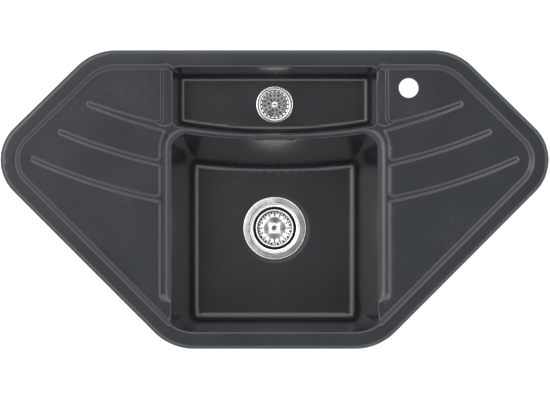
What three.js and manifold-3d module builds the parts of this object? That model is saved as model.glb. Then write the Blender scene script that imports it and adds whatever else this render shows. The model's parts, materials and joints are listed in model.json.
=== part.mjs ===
// Corner kitchen sink, inset type, in millimetres, +Z up, +X right, +Y to the back.
// The origin is the centre of the outline in plan, on the worktop's surface: the rim's
// underside is z = 0, the bowls hang below it, and the sink is symmetrical about x = 0
// apart from its tap hole.
import * as THREE from 'three';
import { mergeVertices } from 'three/addons/utils/BufferGeometryUtils.js';
import Module from 'manifold-3d';

const wasm = await Module();
wasm.setup();

// ---------------------------------------------------------------- driving dimensions

// Outline in plan: the sharp corners on the right half, mirrored to the left
const backHalf = 322.4;
const sideHalf = 521;
const frontHalf = 184.8;
const planDepth = 531;
const sideFromBack = 194.5;
const obtuseRadius = 100;
const sideRadius = 80;

// Rim
const rimHeight = 12;
const rimWidth = 27;
const rimSlopeWidth = 8;
const rimEdgeRadius = 6;
const seatWidth = 18;

// Drainers: they start this far below the rim at their outer ends and fall to the bowls
const drainerDrop = 4.8;
const drainerFall = 0.0075;
const panDepth = 6.5;

// Channel beside the main bowl and the shoulder that rolls into the bowl
const channelWidth = 18;
const channelFlat = 4.4;
const padSlope = 3.6;
const channelDepth = 3;
const shoulderDrop = 13.2;
const channelFadeStart = 100.5;
const channelFadeEnd = 81.5;

// Divider between the bowls: it carries the channel on at this share of its width, with
// less of its fall
const dividerShare = 0.62;
const dividerFall = 0.45;
const dividerSpare = 6;

// Drain grooves: distances of the outer end from the centre line and from the back edge,
// and from the back edge where they meet the channel
const grooves = [
  { outer: 333.6, outerSetback: 94.4, innerSetback: 137, innerWidth: 14 },
  { outer: 384.3, outerSetback: 144, innerSetback: 202.3, innerWidth: 10.5 },
  { outer: 432.8, outerSetback: 192.3, innerSetback: 266.4, innerWidth: 10.5 },
];
const grooveRadius = 1000;
const grooveWidth = 9.5;
const grooveFloor = 0.55;
const grooveStartDepth = 1.5;

// Main bowl: its opening, its floor and the curve of its back wall. Setbacks here and below
// are from the outline's back edge, and those named front from its front edge
const bowlSide = 183.2;
const bowlBackSetback = 160.1;
const bowlBackBow = 14.7;
const bowlBackRadius = 30;
const bowlFrontSetback = 29;
const bowlFloorSide = 147.1;
const bowlFloorBackSetback = 208.4;
const bowlFloorBackBow = 9.5;
const bowlFloorFrontSetback = 48;
const bowlFloorRadius = 9;
const bowlDepth = 200;
const bowlFillet = 11;

// Half bowl
const halfSide = 181;
const halfBackSetback = 29;
const halfFrontSetback = 151.1;
const halfFrontBow = 15.9;
const halfFloorSide = 168;
const halfFloorBackSetback = 46.6;
const halfFloorFrontSetback = 141.7;
const halfFloorFrontBow = 15.1;
const halfDepth = 90;
const halfFillet = 8;
const halfRadius = 9;
const halfFloorRadius = 7;

// Ledges behind the drainers, and the lower tongue between a ledge and the half bowl
const tongueWidth = 16.2;
const tongueSlope = 6;
const tongueDrop = 1.4;
const tongueEndSetback = 134.5;
const tongueEndRadius = 20;
const wellLength = 46;
const wellRadius = 9;

const bowlWall = 8;

// Pierced tap hole, right ledge
const tapX = 238.4;
const tapSetback = 67.2;
const tapHole = 35;

// Wastes: plan positions, flanges and holes. The main one lies behind the floor's middle
const mainWasteShift = 27.7;
const mainFlange = 114;
const mainHole = 91;
const halfWasteSetback = 94.5;
const gridDiameter = 65;
const halfHole = 54;
const seatDepth = 3;
const seatClearance = 2;
const gasketThick = 1.6;
const steel = 1.2;

// Strainer cup: radii of its throat, ledge and cone, and depths below the bowl's floor
const cupThroat = 43.4;
const cupLedge = 39.4;
const cupConeTop = 36.5;
const cupConeFoot = 30;
const cupLedgeDepth = 8;
const cupConeDepth = 24;
const cupConeHeight = 6;
const cupDepth = 38;
const cupDrainHoles = 6;
const cupDrainHole = 9;

// Basket: its radius, rise from trough to rim, and how its dome, holes and slots divide
const basketRadius = 34.4;
const basketHeight = 14;
const basketFloor = 22;
const basketHoles = 16;
const basketHole = 3.4;
const basketHoleCircle = 23.7;
const basketDome = 21;
const basketDomeRise = 7;
const basketSlotWidth = 5.4;
const knobDiameter = 15;
const knobHeight = 9;
const knobNeck = 9;
const stemDiameter = 6;
const stemCollar = 10;
const stemFoot = 11;
const stemFootHeight = 3.5;
const sealThick = 2.6;
const sealWasher = 28;
const basketSteel = 1;

// Grid: its dish, and its rings of holes as [count, ring radius, hole diameter]
const gridDish = 26;
const gridDishDepth = 2.6;
const gridRings = [
  [20, 23.7, 3.8],
  [15, 17.4, 4],
  [9, 10.2, 3.7],
];
const gridScrewHead = 10.5;
const gridScrewHeadHeight = 2.2;
const gridScrewDiameter = 5;
const gridScrewLength = 30;
const slotWidth = 1.4;
const slotDepth = 1.1;

// Waste bodies and their clamp screw
const underGasket = 2.5;
const wasteWall = 3.5;
const wasteFlange = 4;
const mainBodyGap = 2.4;
const mainBodyDepth = 52;
const mainFunnel = 10;
const outletDiameter = 47.8;
const outletLength = 28;
const inletDepth = 42;
const clampDiameter = 6;
const clampHead = 13;
const clampHeadHeight = 2.8;
const clampLength = 42;
const hubWall = 4;
const hubDepth = 18;
const webThick = 3;
const halfBodyRadius = 24;
const halfBodyDepth = 30;
const halfFunnel = 8;

// Link pipe from the half bowl's waste to the main one, with its nuts and seals
const pipeDiameter = 32;
const pipeWall = 2;
const pipeBend = 48;
const spigotLength = 26;
const socketDepth = 22;
const nutLength = 20;
const nutWall = 4;
const nutEnd = 3;
const nutRibs = 8;
const sealLength = 4;

// Worktop clips, set for this worktop, each with a screw up into the sink's underside
const worktop = 38;
const clipWidth = 22;
const clipSteel = 2.5;
const clipReach = 16;
const clipArm = 14;
const clipTooth = 5;
const clipSetback = 3;
const clipScrewDiameter = 5;
const clipScrewHead = 10;
const clipScrewHeadHeight = 3;
const clipScrewBite = 6;

// Clearances: between faces that seat on each other, and round what passes through a hole
const fit = 0.1;
const roundFit = 0.35;

// ---------------------------------------------------------------- solids and booleans

const arcSteps = 6;

/** Position-only geometry with shared vertices, no flat triangles and its faces out. */
function tidy(geometry) {
  const bare = geometry.clone();
  bare.deleteAttribute('normal');
  bare.deleteAttribute('uv');
  const merged = mergeVertices(bare, 1e-4);
  const at = merged.attributes.position;
  const index = [];
  let volume = 0;
  const [a, b, c] = [new THREE.Vector3(), new THREE.Vector3(), new THREE.Vector3()];
  for (let i = 0; i < merged.index.count; i += 3) {
    const [p, q, r] = [0, 1, 2].map((k) => merged.index.getX(i + k));
    if (p === q || q === r || r === p) continue;
    index.push(p, q, r);
    a.fromBufferAttribute(at, p);
    b.fromBufferAttribute(at, q);
    c.fromBufferAttribute(at, r);
    volume += a.dot(b.cross(c)) / 6;
  }
  merged.setIndex(volume < 0 ? index.reverse() : index);
  return merged;
}

function solid(geometry) {
  const clean = tidy(geometry);
  return new wasm.Manifold(
    new wasm.Mesh({
      numProp: 3,
      vertProperties: new Float32Array(clean.attributes.position.array),
      triVerts: new Uint32Array(clean.index.array),
    }),
  );
}

function geometryOf(manifold) {
  const { vertProperties, triVerts } = manifold.getMesh();
  const geometry = new THREE.BufferGeometry();
  geometry.setAttribute('position', new THREE.BufferAttribute(vertProperties, 3));
  geometry.setIndex(new THREE.BufferAttribute(triVerts, 1));
  geometry.computeVertexNormals();
  return geometry;
}

/** Closed solid through rings of points, each ring flat and all with as many points. */
function loft(rings) {
  const count = rings[0].length;
  const positions = rings.flat().flatMap((p) => [p.x, p.y, p.z]);
  const index = [];
  for (let k = 0; k + 1 < rings.length; k += 1) {
    for (let i = 0; i < count; i += 1) {
      const j = (i + 1) % count;
      const [a, b] = [k * count + i, k * count + j];
      index.push(a, b, b + count, a, b + count, a + count);
    }
  }
  const last = (rings.length - 1) * count;
  for (const [p, q, r] of capTriangles(rings[0])) index.push(r, q, p);
  for (const [p, q, r] of capTriangles(rings.at(-1))) index.push(last + p, last + q, last + r);
  const geometry = new THREE.BufferGeometry();
  geometry.setAttribute('position', new THREE.Float32BufferAttribute(positions, 3));
  geometry.setIndex(index);
  return geometry;
}

/** Triangles over one flat ring, wound the way the ring runs. */
function capTriangles(ring) {
  const normal = new THREE.Vector3();
  ring.forEach((p, i) => normal.add(p.clone().cross(ring[(i + 1) % ring.length])));
  normal.normalize();
  const across = new THREE.Vector3(1, 0, 0);
  if (Math.abs(normal.x) > 0.8) across.set(0, 1, 0);
  const u = across.sub(normal.clone().multiplyScalar(across.dot(normal))).normalize();
  const v = normal.clone().cross(u);
  const flat = ring.map((p) => new THREE.Vector2(p.dot(u), p.dot(v)));
  return THREE.ShapeUtils.triangulateShape(flat, []).map(([p, q, r]) => {
    const [a, b, c] = [flat[p], flat[q], flat[r]];
    const turn = (b.x - a.x) * (c.y - a.y) - (b.y - a.y) * (c.x - a.x);
    return turn > 0 ? [p, q, r] : [p, r, q];
  });
}

/** Solid of revolution about the z axis from [radius, z] points. */
function revolve(profile, segments = 48) {
  const closed = [...profile, profile[0]];
  const points = closed.map(([r, z]) => new THREE.Vector2(r, z));
  return new THREE.LatheGeometry(points, segments).rotateX(Math.PI / 2);
}

/** Cylinder from z0 up to z1 about a vertical axis at x, y. */
function post(diameter, z0, z1, x = 0, y = 0, segments = 24) {
  const geometry = new THREE.CylinderGeometry(diameter / 2, diameter / 2, z1 - z0, segments);
  return geometry.rotateX(Math.PI / 2).translate(x, y, (z0 + z1) / 2);
}

function box(x0, y0, z0, x1, y1, z1) {
  const geometry = new THREE.BoxGeometry(x1 - x0, y1 - y0, z1 - z0);
  return geometry.translate((x0 + x1) / 2, (y0 + y1) / 2, (z0 + z1) / 2);
}

/** The same thing made count times round the z axis. */
function around(count, make) {
  return Array.from({ length: count }, (_, i) => make((2 * Math.PI * i) / count));
}

// ---------------------------------------------------------------- outline and its insets

const backY = planDepth / 2;
const frontY = -planDepth / 2;
const sideY = backY - sideFromBack;
const bowlBack = backY - bowlBackSetback;
const halfFront = backY - halfFrontSetback;
const tongueEnd = backY - tongueEndSetback;
const bowlFloorBack = backY - bowlFloorBackSetback;
const bowlFloorFront = frontY + bowlFloorFrontSetback;
const mainWasteY = (bowlFloorBack + bowlFloorFront) / 2 + mainWasteShift;
const halfWasteY = backY - halfWasteSetback;
const rightCorners = [
  [frontHalf, frontY, obtuseRadius],
  [sideHalf, sideY, sideRadius],
  [backHalf, backY, obtuseRadius],
];
const outlineCorners = [
  ...rightCorners,
  ...rightCorners.map(([x, y, r]) => [-x, y, r]).reverse(),
];

/** The outline moved inwards, anticlockwise, with its corners rounded. */
function outlineRing(inset) {
  const n = outlineCorners.length;
  const corner = outlineCorners.map(([x, y]) => new THREE.Vector2(x, y));
  const edges = corner.map((p, i) => {
    const along = corner[(i + 1) % n].clone().sub(p).normalize();
    const inwards = new THREE.Vector2(-along.y, along.x);
    return { start: p.clone().addScaledVector(inwards, inset), along };
  });
  return edges.flatMap((edge, i) => {
    const before = edges[(i + n - 1) % n];
    const cross = before.along.cross(edge.along);
    const reach = edge.start.clone().sub(before.start).cross(edge.along) / cross;
    const tip = before.start.clone().addScaledVector(before.along, reach);
    const radius = Math.max(outlineCorners[i][2] - inset, 1);
    return filletPoints(tip, before.along, edge.along, radius);
  });
}

/** Points of the arc that rounds an anticlockwise corner. */
function filletPoints(tip, arriving, leaving, radius, steps = arcSteps) {
  const turn = Math.acos(THREE.MathUtils.clamp(arriving.dot(leaving), -1, 1));
  const tangent = radius * Math.tan(turn / 2);
  const begin = tip.clone().addScaledVector(arriving, -tangent);
  const centre = begin.clone().add(new THREE.Vector2(-arriving.y, arriving.x).multiplyScalar(radius));
  return Array.from({ length: steps + 1 }, (_, k) =>
    begin.clone().rotateAround(centre, (turn * k) / steps),
  );
}

const lift = (ring, height) =>
  ring.map((p) => new THREE.Vector3(p.x, p.y, typeof height === 'function' ? height(p) : height));

// ---------------------------------------------------------------- bowls in plan

/** One ring of a bowl. Front and back may bow, and an open front corner stops short of
    a quarter turn, where the rim's own rounded corner cuts it. */
function bowlRing(p) {
  const slope = (bow) => new THREE.Vector2(p.side, 2 * bow).normalize();
  const backAlong = slope(p.backBow);
  const corner = new THREE.Vector2(p.side, p.back + p.backBow);
  const up = new THREE.Vector2(0, 1);
  const arriveBack = new THREE.Vector2(-backAlong.x, -backAlong.y);
  const backRight = filletPoints(corner, up, arriveBack, p.backRadius);
  const centreX = p.side - p.frontRadius * Math.sin(p.frontTurn);
  const frontRight = Array.from({ length: arcSteps + 1 }, (_, k) => {
    const angle = (p.frontTurn * k) / arcSteps;
    const x = centreX + p.frontRadius * Math.sin(angle);
    const bow = p.frontBow * (x / p.side) ** 2;
    return new THREE.Vector2(x, p.front + bow + p.frontRadius * (1 - Math.cos(angle)));
  });
  const backStart = backRight.at(-1);
  const edge = (fromX, toX, y, bow, steps = 6) =>
    Array.from({ length: steps - 1 }, (_, k) => {
      const x = fromX + ((toX - fromX) * (k + 1)) / steps;
      return new THREE.Vector2(x, y + bow * (x / p.side) ** 2);
    });
  const mirror = (points) => points.map((q) => new THREE.Vector2(-q.x, q.y)).reverse();
  return [
    ...frontRight,
    ...backRight,
    ...edge(backStart.x, -backStart.x, p.back, p.backBow),
    ...mirror(backRight),
    ...mirror(frontRight),
    ...edge(-centreX, centreX, p.front, p.frontBow),
  ];
}

const mix = (a, b, t) =>
  Object.fromEntries(Object.keys(a).map((key) => [key, a[key] + (b[key] - a[key]) * t]));

const grow = (p, wall) => ({
  ...p,
  side: p.side + wall,
  back: p.back + wall,
  front: p.front - wall,
  backRadius: p.backRadius + wall,
  frontRadius: p.frontRadius + wall,
});

/** Stack of bowl rings from its floor up to its opening, grown by a wall. */
function bowlSolid(opening, floor, floorZ, topZ, fillet, wall, lip = 0) {
  const [steps, wallSteps, lipSteps] = lip > 0 ? [3, 2, 2] : [2, 1, 0];
  const footShare = fillet / (topZ - floorZ);
  const foot = grow(mix(floor, opening, footShare), fillet * 0.35 + wall);
  const base = grow(floor, wall - fillet * 0.45);
  const bottom = floorZ - wall;
  const rings = Array.from({ length: steps + 1 }, (_, k) => {
    const angle = (Math.PI / 2) * (k / steps);
    const ring = mix(foot, base, 1 - Math.sin(angle));
    return lift(bowlRing(ring), bottom + (fillet + wall) * (1 - Math.cos(angle)));
  });
  const outer = grow(opening, wall);
  for (let k = 1; k <= wallSteps; k += 1) {
    const t = k / wallSteps;
    rings.push(lift(bowlRing(mix(foot, outer, t)), floorZ + fillet + t * (topZ - floorZ - fillet)));
  }
  if (lip > 0) {
    for (let k = 1; k <= lipSteps; k += 1) {
      const angle = (Math.PI / 2) * (k / lipSteps);
      const flared = grow(outer, lip * (1 - Math.cos(angle)));
      flared.side = outer.side;
      rings.push(lift(bowlRing(flared), topZ + lip * Math.sin(angle)));
    }
    const open = { ...grow(outer, lip), side: outer.side };
    rings.push(lift(bowlRing(open), rimHeight + 1));
  }
  return loft(rings);
}

const rimTop = rimHeight;
const drainerZ = (x) => rimTop - drainerDrop - drainerFall * (sideHalf - sideRadius - Math.abs(x));
const mainFloorZ = rimTop - bowlDepth;
const halfFloorZ = rimTop - halfDepth;
const rimInnerRadius = obtuseRadius - bowlFrontSetback;
// where the rim's rounded front corner begins to turn, and how far it has turned at the bowl's side
const frontTurnX = frontHalf - (bowlFrontSetback + rimInnerRadius) * Math.tan(Math.PI / 8);
const openTurn = Math.asin(Math.min((bowlSide - frontTurnX) / rimInnerRadius, 0.99));
const quarter = Math.PI / 2;

const mainOpening = {
  side: bowlSide,
  back: bowlBack,
  backBow: bowlBackBow,
  backRadius: bowlBackRadius,
  front: frontY + bowlFrontSetback,
  frontBow: 0,
  frontRadius: rimInnerRadius,
  frontTurn: openTurn,
};
const mainFloor = {
  side: bowlFloorSide,
  back: bowlFloorBack,
  backBow: bowlFloorBackBow,
  backRadius: bowlFloorRadius,
  front: bowlFloorFront,
  frontBow: 0,
  frontRadius: bowlFloorRadius,
  frontTurn: quarter,
};
const halfOpening = {
  side: halfSide,
  back: backY - halfBackSetback,
  backBow: 0,
  backRadius: halfRadius,
  front: halfFront,
  frontBow: halfFrontBow,
  frontRadius: halfRadius,
  frontTurn: quarter,
};
const halfFloor = {
  side: halfFloorSide,
  back: backY - halfFloorBackSetback,
  backBow: 0,
  backRadius: halfFloorRadius,
  front: backY - halfFloorFrontSetback,
  frontBow: halfFloorFrontBow,
  frontRadius: halfFloorRadius,
  frontTurn: quarter,
};

// ---------------------------------------------------------------- clip places

// Clips hang just inside the worktop's cut-out, at these shares along each of its edges
const clipShares = [[0.5], [0.5], [0.08, 0.92], [0.5], [0.5], []];
const clipInset = seatWidth + clipSetback;
const screwInset = clipArm / 2 + clipSteel;
const clipPlaces = clipShares.flatMap((shares, edge) => {
  const [from, to] = [outlineCorners[edge], outlineCorners[(edge + 1) % clipShares.length]];
  const start = new THREE.Vector2(from[0], from[1]);
  const along = new THREE.Vector2(to[0], to[1]).sub(start);
  const out = new THREE.Vector2(along.y, -along.x).normalize();
  return shares.map((share) => {
    const at = start.clone().addScaledVector(along, share).addScaledVector(out, -clipInset);
    return { x: at.x, y: at.y, out, turn: Math.atan2(out.y, out.x) };
  });
});

// ---------------------------------------------------------------- sink body

const rimInner = rimWidth + rimSlopeWidth;

/** Rim and deck: a rounded slab on the worktop with a thicker pan inside the cut-out. */
function deckSolid() {
  const edge = [0, 1, 2, 3].map((k) => {
    const angle = (quarter * k) / 3;
    const inset = rimEdgeRadius * (1 - Math.cos(angle));
    return lift(outlineRing(inset), rimTop - rimEdgeRadius * (1 - Math.sin(angle)));
  });
  const slab = loft([lift(outlineRing(0), 0), ...edge]);
  const inner = outlineRing(seatWidth);
  const pan = loft([
    lift(outlineRing(seatWidth + panDepth / 2), -panDepth),
    lift(inner, -panDepth / 3),
    lift(inner, 1),
  ]);
  return solid(slab).add(solid(pan));
}

/** Everything inside the rim that lies lower than it, falling towards the bowls. */
function drainerCut(side) {
  const steps = 4;
  const rings = Array.from({ length: steps + 1 }, (_, k) => {
    const t = k / steps;
    const rise = t * t * (3 - 2 * t);
    const height = (p) => THREE.MathUtils.lerp(drainerZ(0) + drainerFall * side * p.x, rimTop, rise);
    return lift(outlineRing(rimInner - rimSlopeWidth * t), height);
  });
  const above = lift(outlineRing(rimWidth), rimTop + 2);
  const half = side > 0 ? [0, sideHalf] : [-sideHalf, 0];
  const keep = box(half[0], frontY, -panDepth, half[1], backY, rimTop + 5);
  return solid(loft([...rings, above])).intersect(solid(keep));
}

/** Cut swept beside the main bowl and along the divider behind it: pad end, flat channel
    and the shoulder that rolls into the bowl. */
function channelCut(side) {
  const outer = channelWidth + padSlope;
  const shoulder = channelWidth - channelFlat;
  // distance from the bowl, share of the channel's depth and share of the shoulder's drop
  const section = [
    [outer, 0, 0],
    [channelWidth, 1, 0],
    [shoulder, 1, 0],
    ...[0.72, 0.46, 0.22, 0].map((reach) => {
      const lean = 1 - reach;
      return [shoulder * reach, 1, 1 - Math.sqrt(1 - lean ** 2)];
    }),
  ];
  const station = (x, y, nx, ny, width, depth, fall, spare = 0) => {
    const ring = section.map(([d, deep, drop]) => {
      const reach = d * width + (d < channelWidth ? 0 : spare);
      const px = x + nx * reach;
      const z = drainerZ(Math.abs(px)) - depth * channelDepth * deep - fall * shoulderDrop * drop;
      return new THREE.Vector3(side * px, y + ny * reach, z);
    });
    const inner = [x - nx * channelWidth, y - ny * channelWidth];
    const end = outer * width + spare;
    const far = [x + nx * end, y + ny * end];
    ring.push(new THREE.Vector3(side * inner[0], inner[1], ring.at(-1).z));
    ring.push(new THREE.Vector3(side * inner[0], inner[1], rimTop + 1));
    ring.push(new THREE.Vector3(side * far[0], far[1], rimTop + 1));
    return ring;
  };
  const fadeMiddle = (channelFadeEnd + channelFadeStart) / 2;
  const stations = [
    station(bowlSide, frontY + channelFadeEnd, 1, 0, 1, 0.02, 0.02),
    station(bowlSide, frontY + fadeMiddle, 1, 0, 1, 0.5, 0.5),
    station(bowlSide, frontY + channelFadeStart, 1, 0, 1, 1, 1),
  ];
  const backSlope = (x) => (2 * bowlBackBow * x) / bowlSide ** 2;
  const turnX = bowlSide - bowlBackRadius;
  const turnY = bowlBack + bowlBackBow * (turnX / bowlSide) ** 2 - bowlBackRadius;
  const corner = 5;
  const turn = quarter + Math.atan(backSlope(turnX));
  for (let k = 0; k <= corner; k += 1) {
    const t = k / corner;
    const [nx, ny] = [Math.cos(turn * t), Math.sin(turn * t)];
    const width = THREE.MathUtils.lerp(1, dividerShare, t);
    const fall = THREE.MathUtils.lerp(1, dividerFall, t);
    const [x, y] = [turnX + nx * bowlBackRadius, turnY + ny * bowlBackRadius];
    stations.push(station(x, y, nx, ny, width, 1, fall, k > corner / 2 ? dividerSpare : 0));
  }
  for (const share of [0.66, 0.33, -0.01]) {
    const x = turnX * share;
    const normal = new THREE.Vector2(-backSlope(x), 1).normalize();
    const y = bowlBack + bowlBackBow * (x / bowlSide) ** 2;
    stations.push(station(x, y, normal.x, normal.y, dividerShare, 1, dividerFall, dividerSpare));
  }
  return solid(loft(stations));
}

/** The lower strip between a ledge and the half bowl, down to the end of the tongue. */
function tongueCut(side) {
  const inner = halfSide - 4;
  const foot = halfSide + tongueWidth;
  const section = [
    [inner, -tongueDrop],
    [foot, -tongueDrop],
    [foot + tongueSlope, 0],
    [foot + tongueSlope, rimHeight],
    [inner, rimHeight],
  ];
  const ring = (y) =>
    section.map(([x, z]) => new THREE.Vector3(side * x, y, drainerZ(x) + z));
  return solid(loft([ring(tongueEnd - wellRadius), ring(backY - rimInner)]));
}

/** The well at the tongue's foot, where the top groove and the channel meet. Its back
    follows the tongue's rounded end, and its walls slope as the pads' ends do. */
function wellCut(side) {
  const stripX = bowlSide + channelWidth;
  const top = drainerZ(stripX);
  const front = tongueEnd - wellLength;
  const centre = new THREE.Vector2(halfSide + tongueEndRadius * 0.75, tongueEnd + tongueEndRadius);
  const shape = (grown) => {
    const corner = new THREE.Vector2(stripX + grown, tongueEnd);
    const up = new THREE.Vector2(0, 1);
    const ledgeCorner = filletPoints(corner, up, new THREE.Vector2(-1, 0), wellRadius);
    const tongueRound = [0, 0.25, 0.5, 0.7].map((t) => {
      const out = new THREE.Vector2(0, grown - tongueEndRadius);
      return centre.clone().add(out.rotateAround(new THREE.Vector2(), -quarter * t));
    });
    return [
      new THREE.Vector2(bowlSide + 2, front),
      new THREE.Vector2(stripX + grown, front),
      ...ledgeCorner.slice(0, 4),
      ...tongueRound,
      new THREE.Vector2(halfSide - 6, tongueEnd - 2),
    ];
  };
  const at = (ring, z) => ring.map((p) => new THREE.Vector3(side * p.x, p.y, z));
  const [floor, open] = [shape(0), shape(padSlope)];
  return solid(loft([at(floor, top - channelDepth), at(open, top + 0.05), at(open, rimTop)]));
}

/** One drain groove: a shallow trough along an arc, rounded at its outer end. */
function grooveCut(groove, side) {
  const meetX = bowlSide + channelWidth - 2;
  const begin = new THREE.Vector2(groove.outer, backY - groove.outerSetback);
  const end = new THREE.Vector2(meetX, backY - groove.innerSetback);
  const chord = begin.distanceTo(end);
  const sag = chord ** 2 / (8 * grooveRadius);
  const middle = begin.clone().lerp(end, 0.5).add(new THREE.Vector2(0, -2 * sag));
  const curve = new THREE.QuadraticBezierCurve(begin, middle, end);
  const endSteps = [0.003, 0.01, 0.03];
  const along = [1, 2, 3, 4, 5, 6].map((k) => 0.03 + (0.97 * k) / 6);
  const rings = [...endSteps, ...along].map((t) => {
    const at = curve.getPoint(t);
    const tangent = curve.getTangent(t);
    const fullWidth = THREE.MathUtils.lerp(grooveWidth, groove.innerWidth, t) / 2;
    const tip = Math.min((t * chord) / (grooveWidth / 2), 1);
    const width = fullWidth * Math.sqrt(1 - (1 - tip) ** 2);
    const depth = THREE.MathUtils.lerp(grooveStartDepth, channelDepth, t) * tip;
    const section = [
      [-1, 1.5],
      [-1, 0],
      [-grooveFloor, -1],
      [grooveFloor, -1],
      [1, 0],
      [1, 1.5],
    ];
    return section.map(([w, z]) => {
      const x = at.x - tangent.y * w * width;
      const y = at.y + tangent.x * w * width;
      return new THREE.Vector3(side * x, y, drainerZ(x) + z * depth);
    });
  });
  return solid(loft(rings));
}

const bowlRoot = -1;
const bowlLip = 2.5;

function sinkBody() {
  let body = deckSolid();
  for (const side of [1, -1]) {
    body = body.subtract(drainerCut(side)).subtract(tongueCut(side)).subtract(wellCut(side));
  }
  body = body
    .add(solid(bowlSolid(mainOpening, mainFloor, mainFloorZ, bowlRoot, bowlFillet, bowlWall)))
    .add(solid(bowlSolid(halfOpening, halfFloor, halfFloorZ, bowlRoot, halfFillet, bowlWall)));
  for (const side of [1, -1]) {
    body = body.subtract(channelCut(side));
    for (const groove of grooves) body = body.subtract(grooveCut(groove, side));
  }
  const flange = (diameter, y, floorZ) =>
    solid(post(diameter + seatClearance, floorZ - seatDepth, floorZ + 5, 0, y, 40));
  const through = (diameter, y, floorZ) =>
    solid(post(diameter, floorZ - bowlWall - 5, floorZ + 5, 0, y, 40));
  for (const clip of clipPlaces) {
    const [x, y] = [clip.x - clip.out.x * screwInset, clip.y - clip.out.y * screwInset];
    const pilot = post(clipScrewDiameter + 2 * roundFit, -panDepth * 2, clipScrewBite - panDepth, x, y, 8);
    body = body.subtract(solid(pilot));
  }
  return body
    .subtract(solid(bowlSolid(mainOpening, mainFloor, mainFloorZ, bowlRoot, bowlFillet, 0, bowlLip)))
    .subtract(solid(bowlSolid(halfOpening, halfFloor, halfFloorZ, bowlRoot, halfFillet, 0, bowlLip)))
    .subtract(flange(mainFlange, mainWasteY, mainFloorZ))
    .subtract(through(mainHole, mainWasteY, mainFloorZ))
    .subtract(flange(gridDiameter, halfWasteY, halfFloorZ))
    .subtract(through(halfHole, halfWasteY, halfFloorZ))
    .subtract(solid(post(tapHole, -panDepth * 2, rimTop + 5, tapX, backY - tapSetback, 28)));
}

// ---------------------------------------------------------------- pressed and moulded waste pieces

/** Closed profile of a sheet: the given [radius, z] line and its offset to the right. */
function sheetProfile(line, thickness) {
  const points = line.map(([r, z]) => new THREE.Vector2(r, z));
  const away = points.map((p, i) => {
    const before = points[Math.max(i - 1, 0)];
    const after = points[Math.min(i + 1, points.length - 1)];
    const arrive = (i > 0 ? p.clone().sub(before) : after.clone().sub(p)).normalize();
    const leave = (i < points.length - 1 ? after.clone().sub(p) : arrive.clone()).normalize();
    const n1 = new THREE.Vector2(arrive.y, -arrive.x);
    const n2 = new THREE.Vector2(leave.y, -leave.x);
    const miter = n1.clone().add(n2).normalize();
    return p.clone().addScaledVector(miter, thickness / Math.max(miter.dot(n1), 0.4));
  });
  return [...points, ...away.reverse()].map((p) => [p.x, p.y]);
}

function ringSolid(inner, outer, z0, z1, segments = 24) {
  return revolve([[inner, z0], [outer, z0], [outer, z1], [inner, z1]], segments);
}

// Heights in the stack at a waste, from the bowl's floor at z = 0
const gasketTop = -seatDepth + fit + gasketThick;
const flangeUnder = gasketTop + fit;
const flangeTop = flangeUnder + steel;
const bowlUnder = -bowlWall;
const underGasketFoot = bowlUnder - fit - underGasket;
const bodyTop = underGasketFoot - fit;
const gasketInset = 1.5;

/** Steel strainer cup: flange, throat, ledge, conical seat and drained floor. */
function mainFlangePiece() {
  const flangeRadius = mainFlange / 2;
  const line = [
    [clampDiameter / 2 + roundFit, -cupDepth],
    [cupConeFoot - 1.5, -cupDepth],
    [cupConeFoot, -cupConeDepth - cupConeHeight],
    [cupConeTop, -cupConeDepth],
    [cupLedge, -cupLedgeDepth - 0.5],
    [cupThroat, -cupLedgeDepth],
    [cupThroat, flangeTop - 1.5],
    [cupThroat + 1.5, flangeTop],
    [flangeRadius, flangeTop],
  ];
  const holes = around(cupDrainHoles, (angle) => {
    const reach = (cupConeFoot + clampHead / 2) / 2;
    const [x, y] = [reach * Math.cos(angle), reach * Math.sin(angle)];
    return post(cupDrainHole, -cupDepth - 5, -cupDepth + 5, x, y, 10);
  });
  return cutAll(revolve(sheetProfile(line, steel), 32), holes);
}

function cutAll(geometry, cutters) {
  return geometryOf(cutters.reduce((left, cutter) => left.subtract(solid(cutter)), solid(geometry)));
}

function joinAll(geometries) {
  return geometries.map(solid).reduce((left, right) => left.add(right));
}

/** Screw that hangs by its head, with a slot or a hexagon socket in it. */
function screw(head, headHeight, shank, length, recess) {
  const shape = revolve(
    [[0, -length], [shank / 2, -length], [shank / 2, 0], [head / 2, 0],
      [head / 2, headHeight * 0.6], [head / 2 - 0.8, headHeight], [0, headHeight]],
    16,
  );
  return cutAll(shape, [recess]);
}

function clampScrewPiece() {
  const socket = post(clampDiameter - 1, clampHeadHeight * 0.3, clampHeadHeight + 1, 0, 0, 6);
  return screw(clampHead, clampHeadHeight, clampDiameter, clampLength, socket);
}

function gridScrewPiece() {
  const [half, top] = [gridScrewHead / 2 + 1, gridScrewHeadHeight];
  const slot = box(-half, -slotWidth / 2, top - slotDepth, half, slotWidth / 2, top + 1);
  return screw(gridScrewHead, top, gridScrewDiameter, gridScrewLength, slot);
}

const spigotBore = pipeDiameter / 2 - pipeWall;
const socketRadius = pipeDiameter / 2 + roundFit;
const spigotOuter = socketRadius + wasteWall;

/** Screw boss on webs in a waste body, its top just under the piece that it clamps. */
function hub(radius, hole, top, depth) {
  const webs = around(3, (angle) =>
    box(0, -webThick / 2, top - depth, radius, webThick / 2, top - 3).rotateZ(angle + Math.PI / 6),
  );
  const boss = post(hole + 2 * hubWall, top - depth, top, 0, 0, 16);
  return { solids: [boss, ...webs], bore: post(hole, top - depth - 5, top + 5, 0, 0, 12) };
}

const mainBodyRadius = cupLedge + steel + mainBodyGap;

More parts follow.
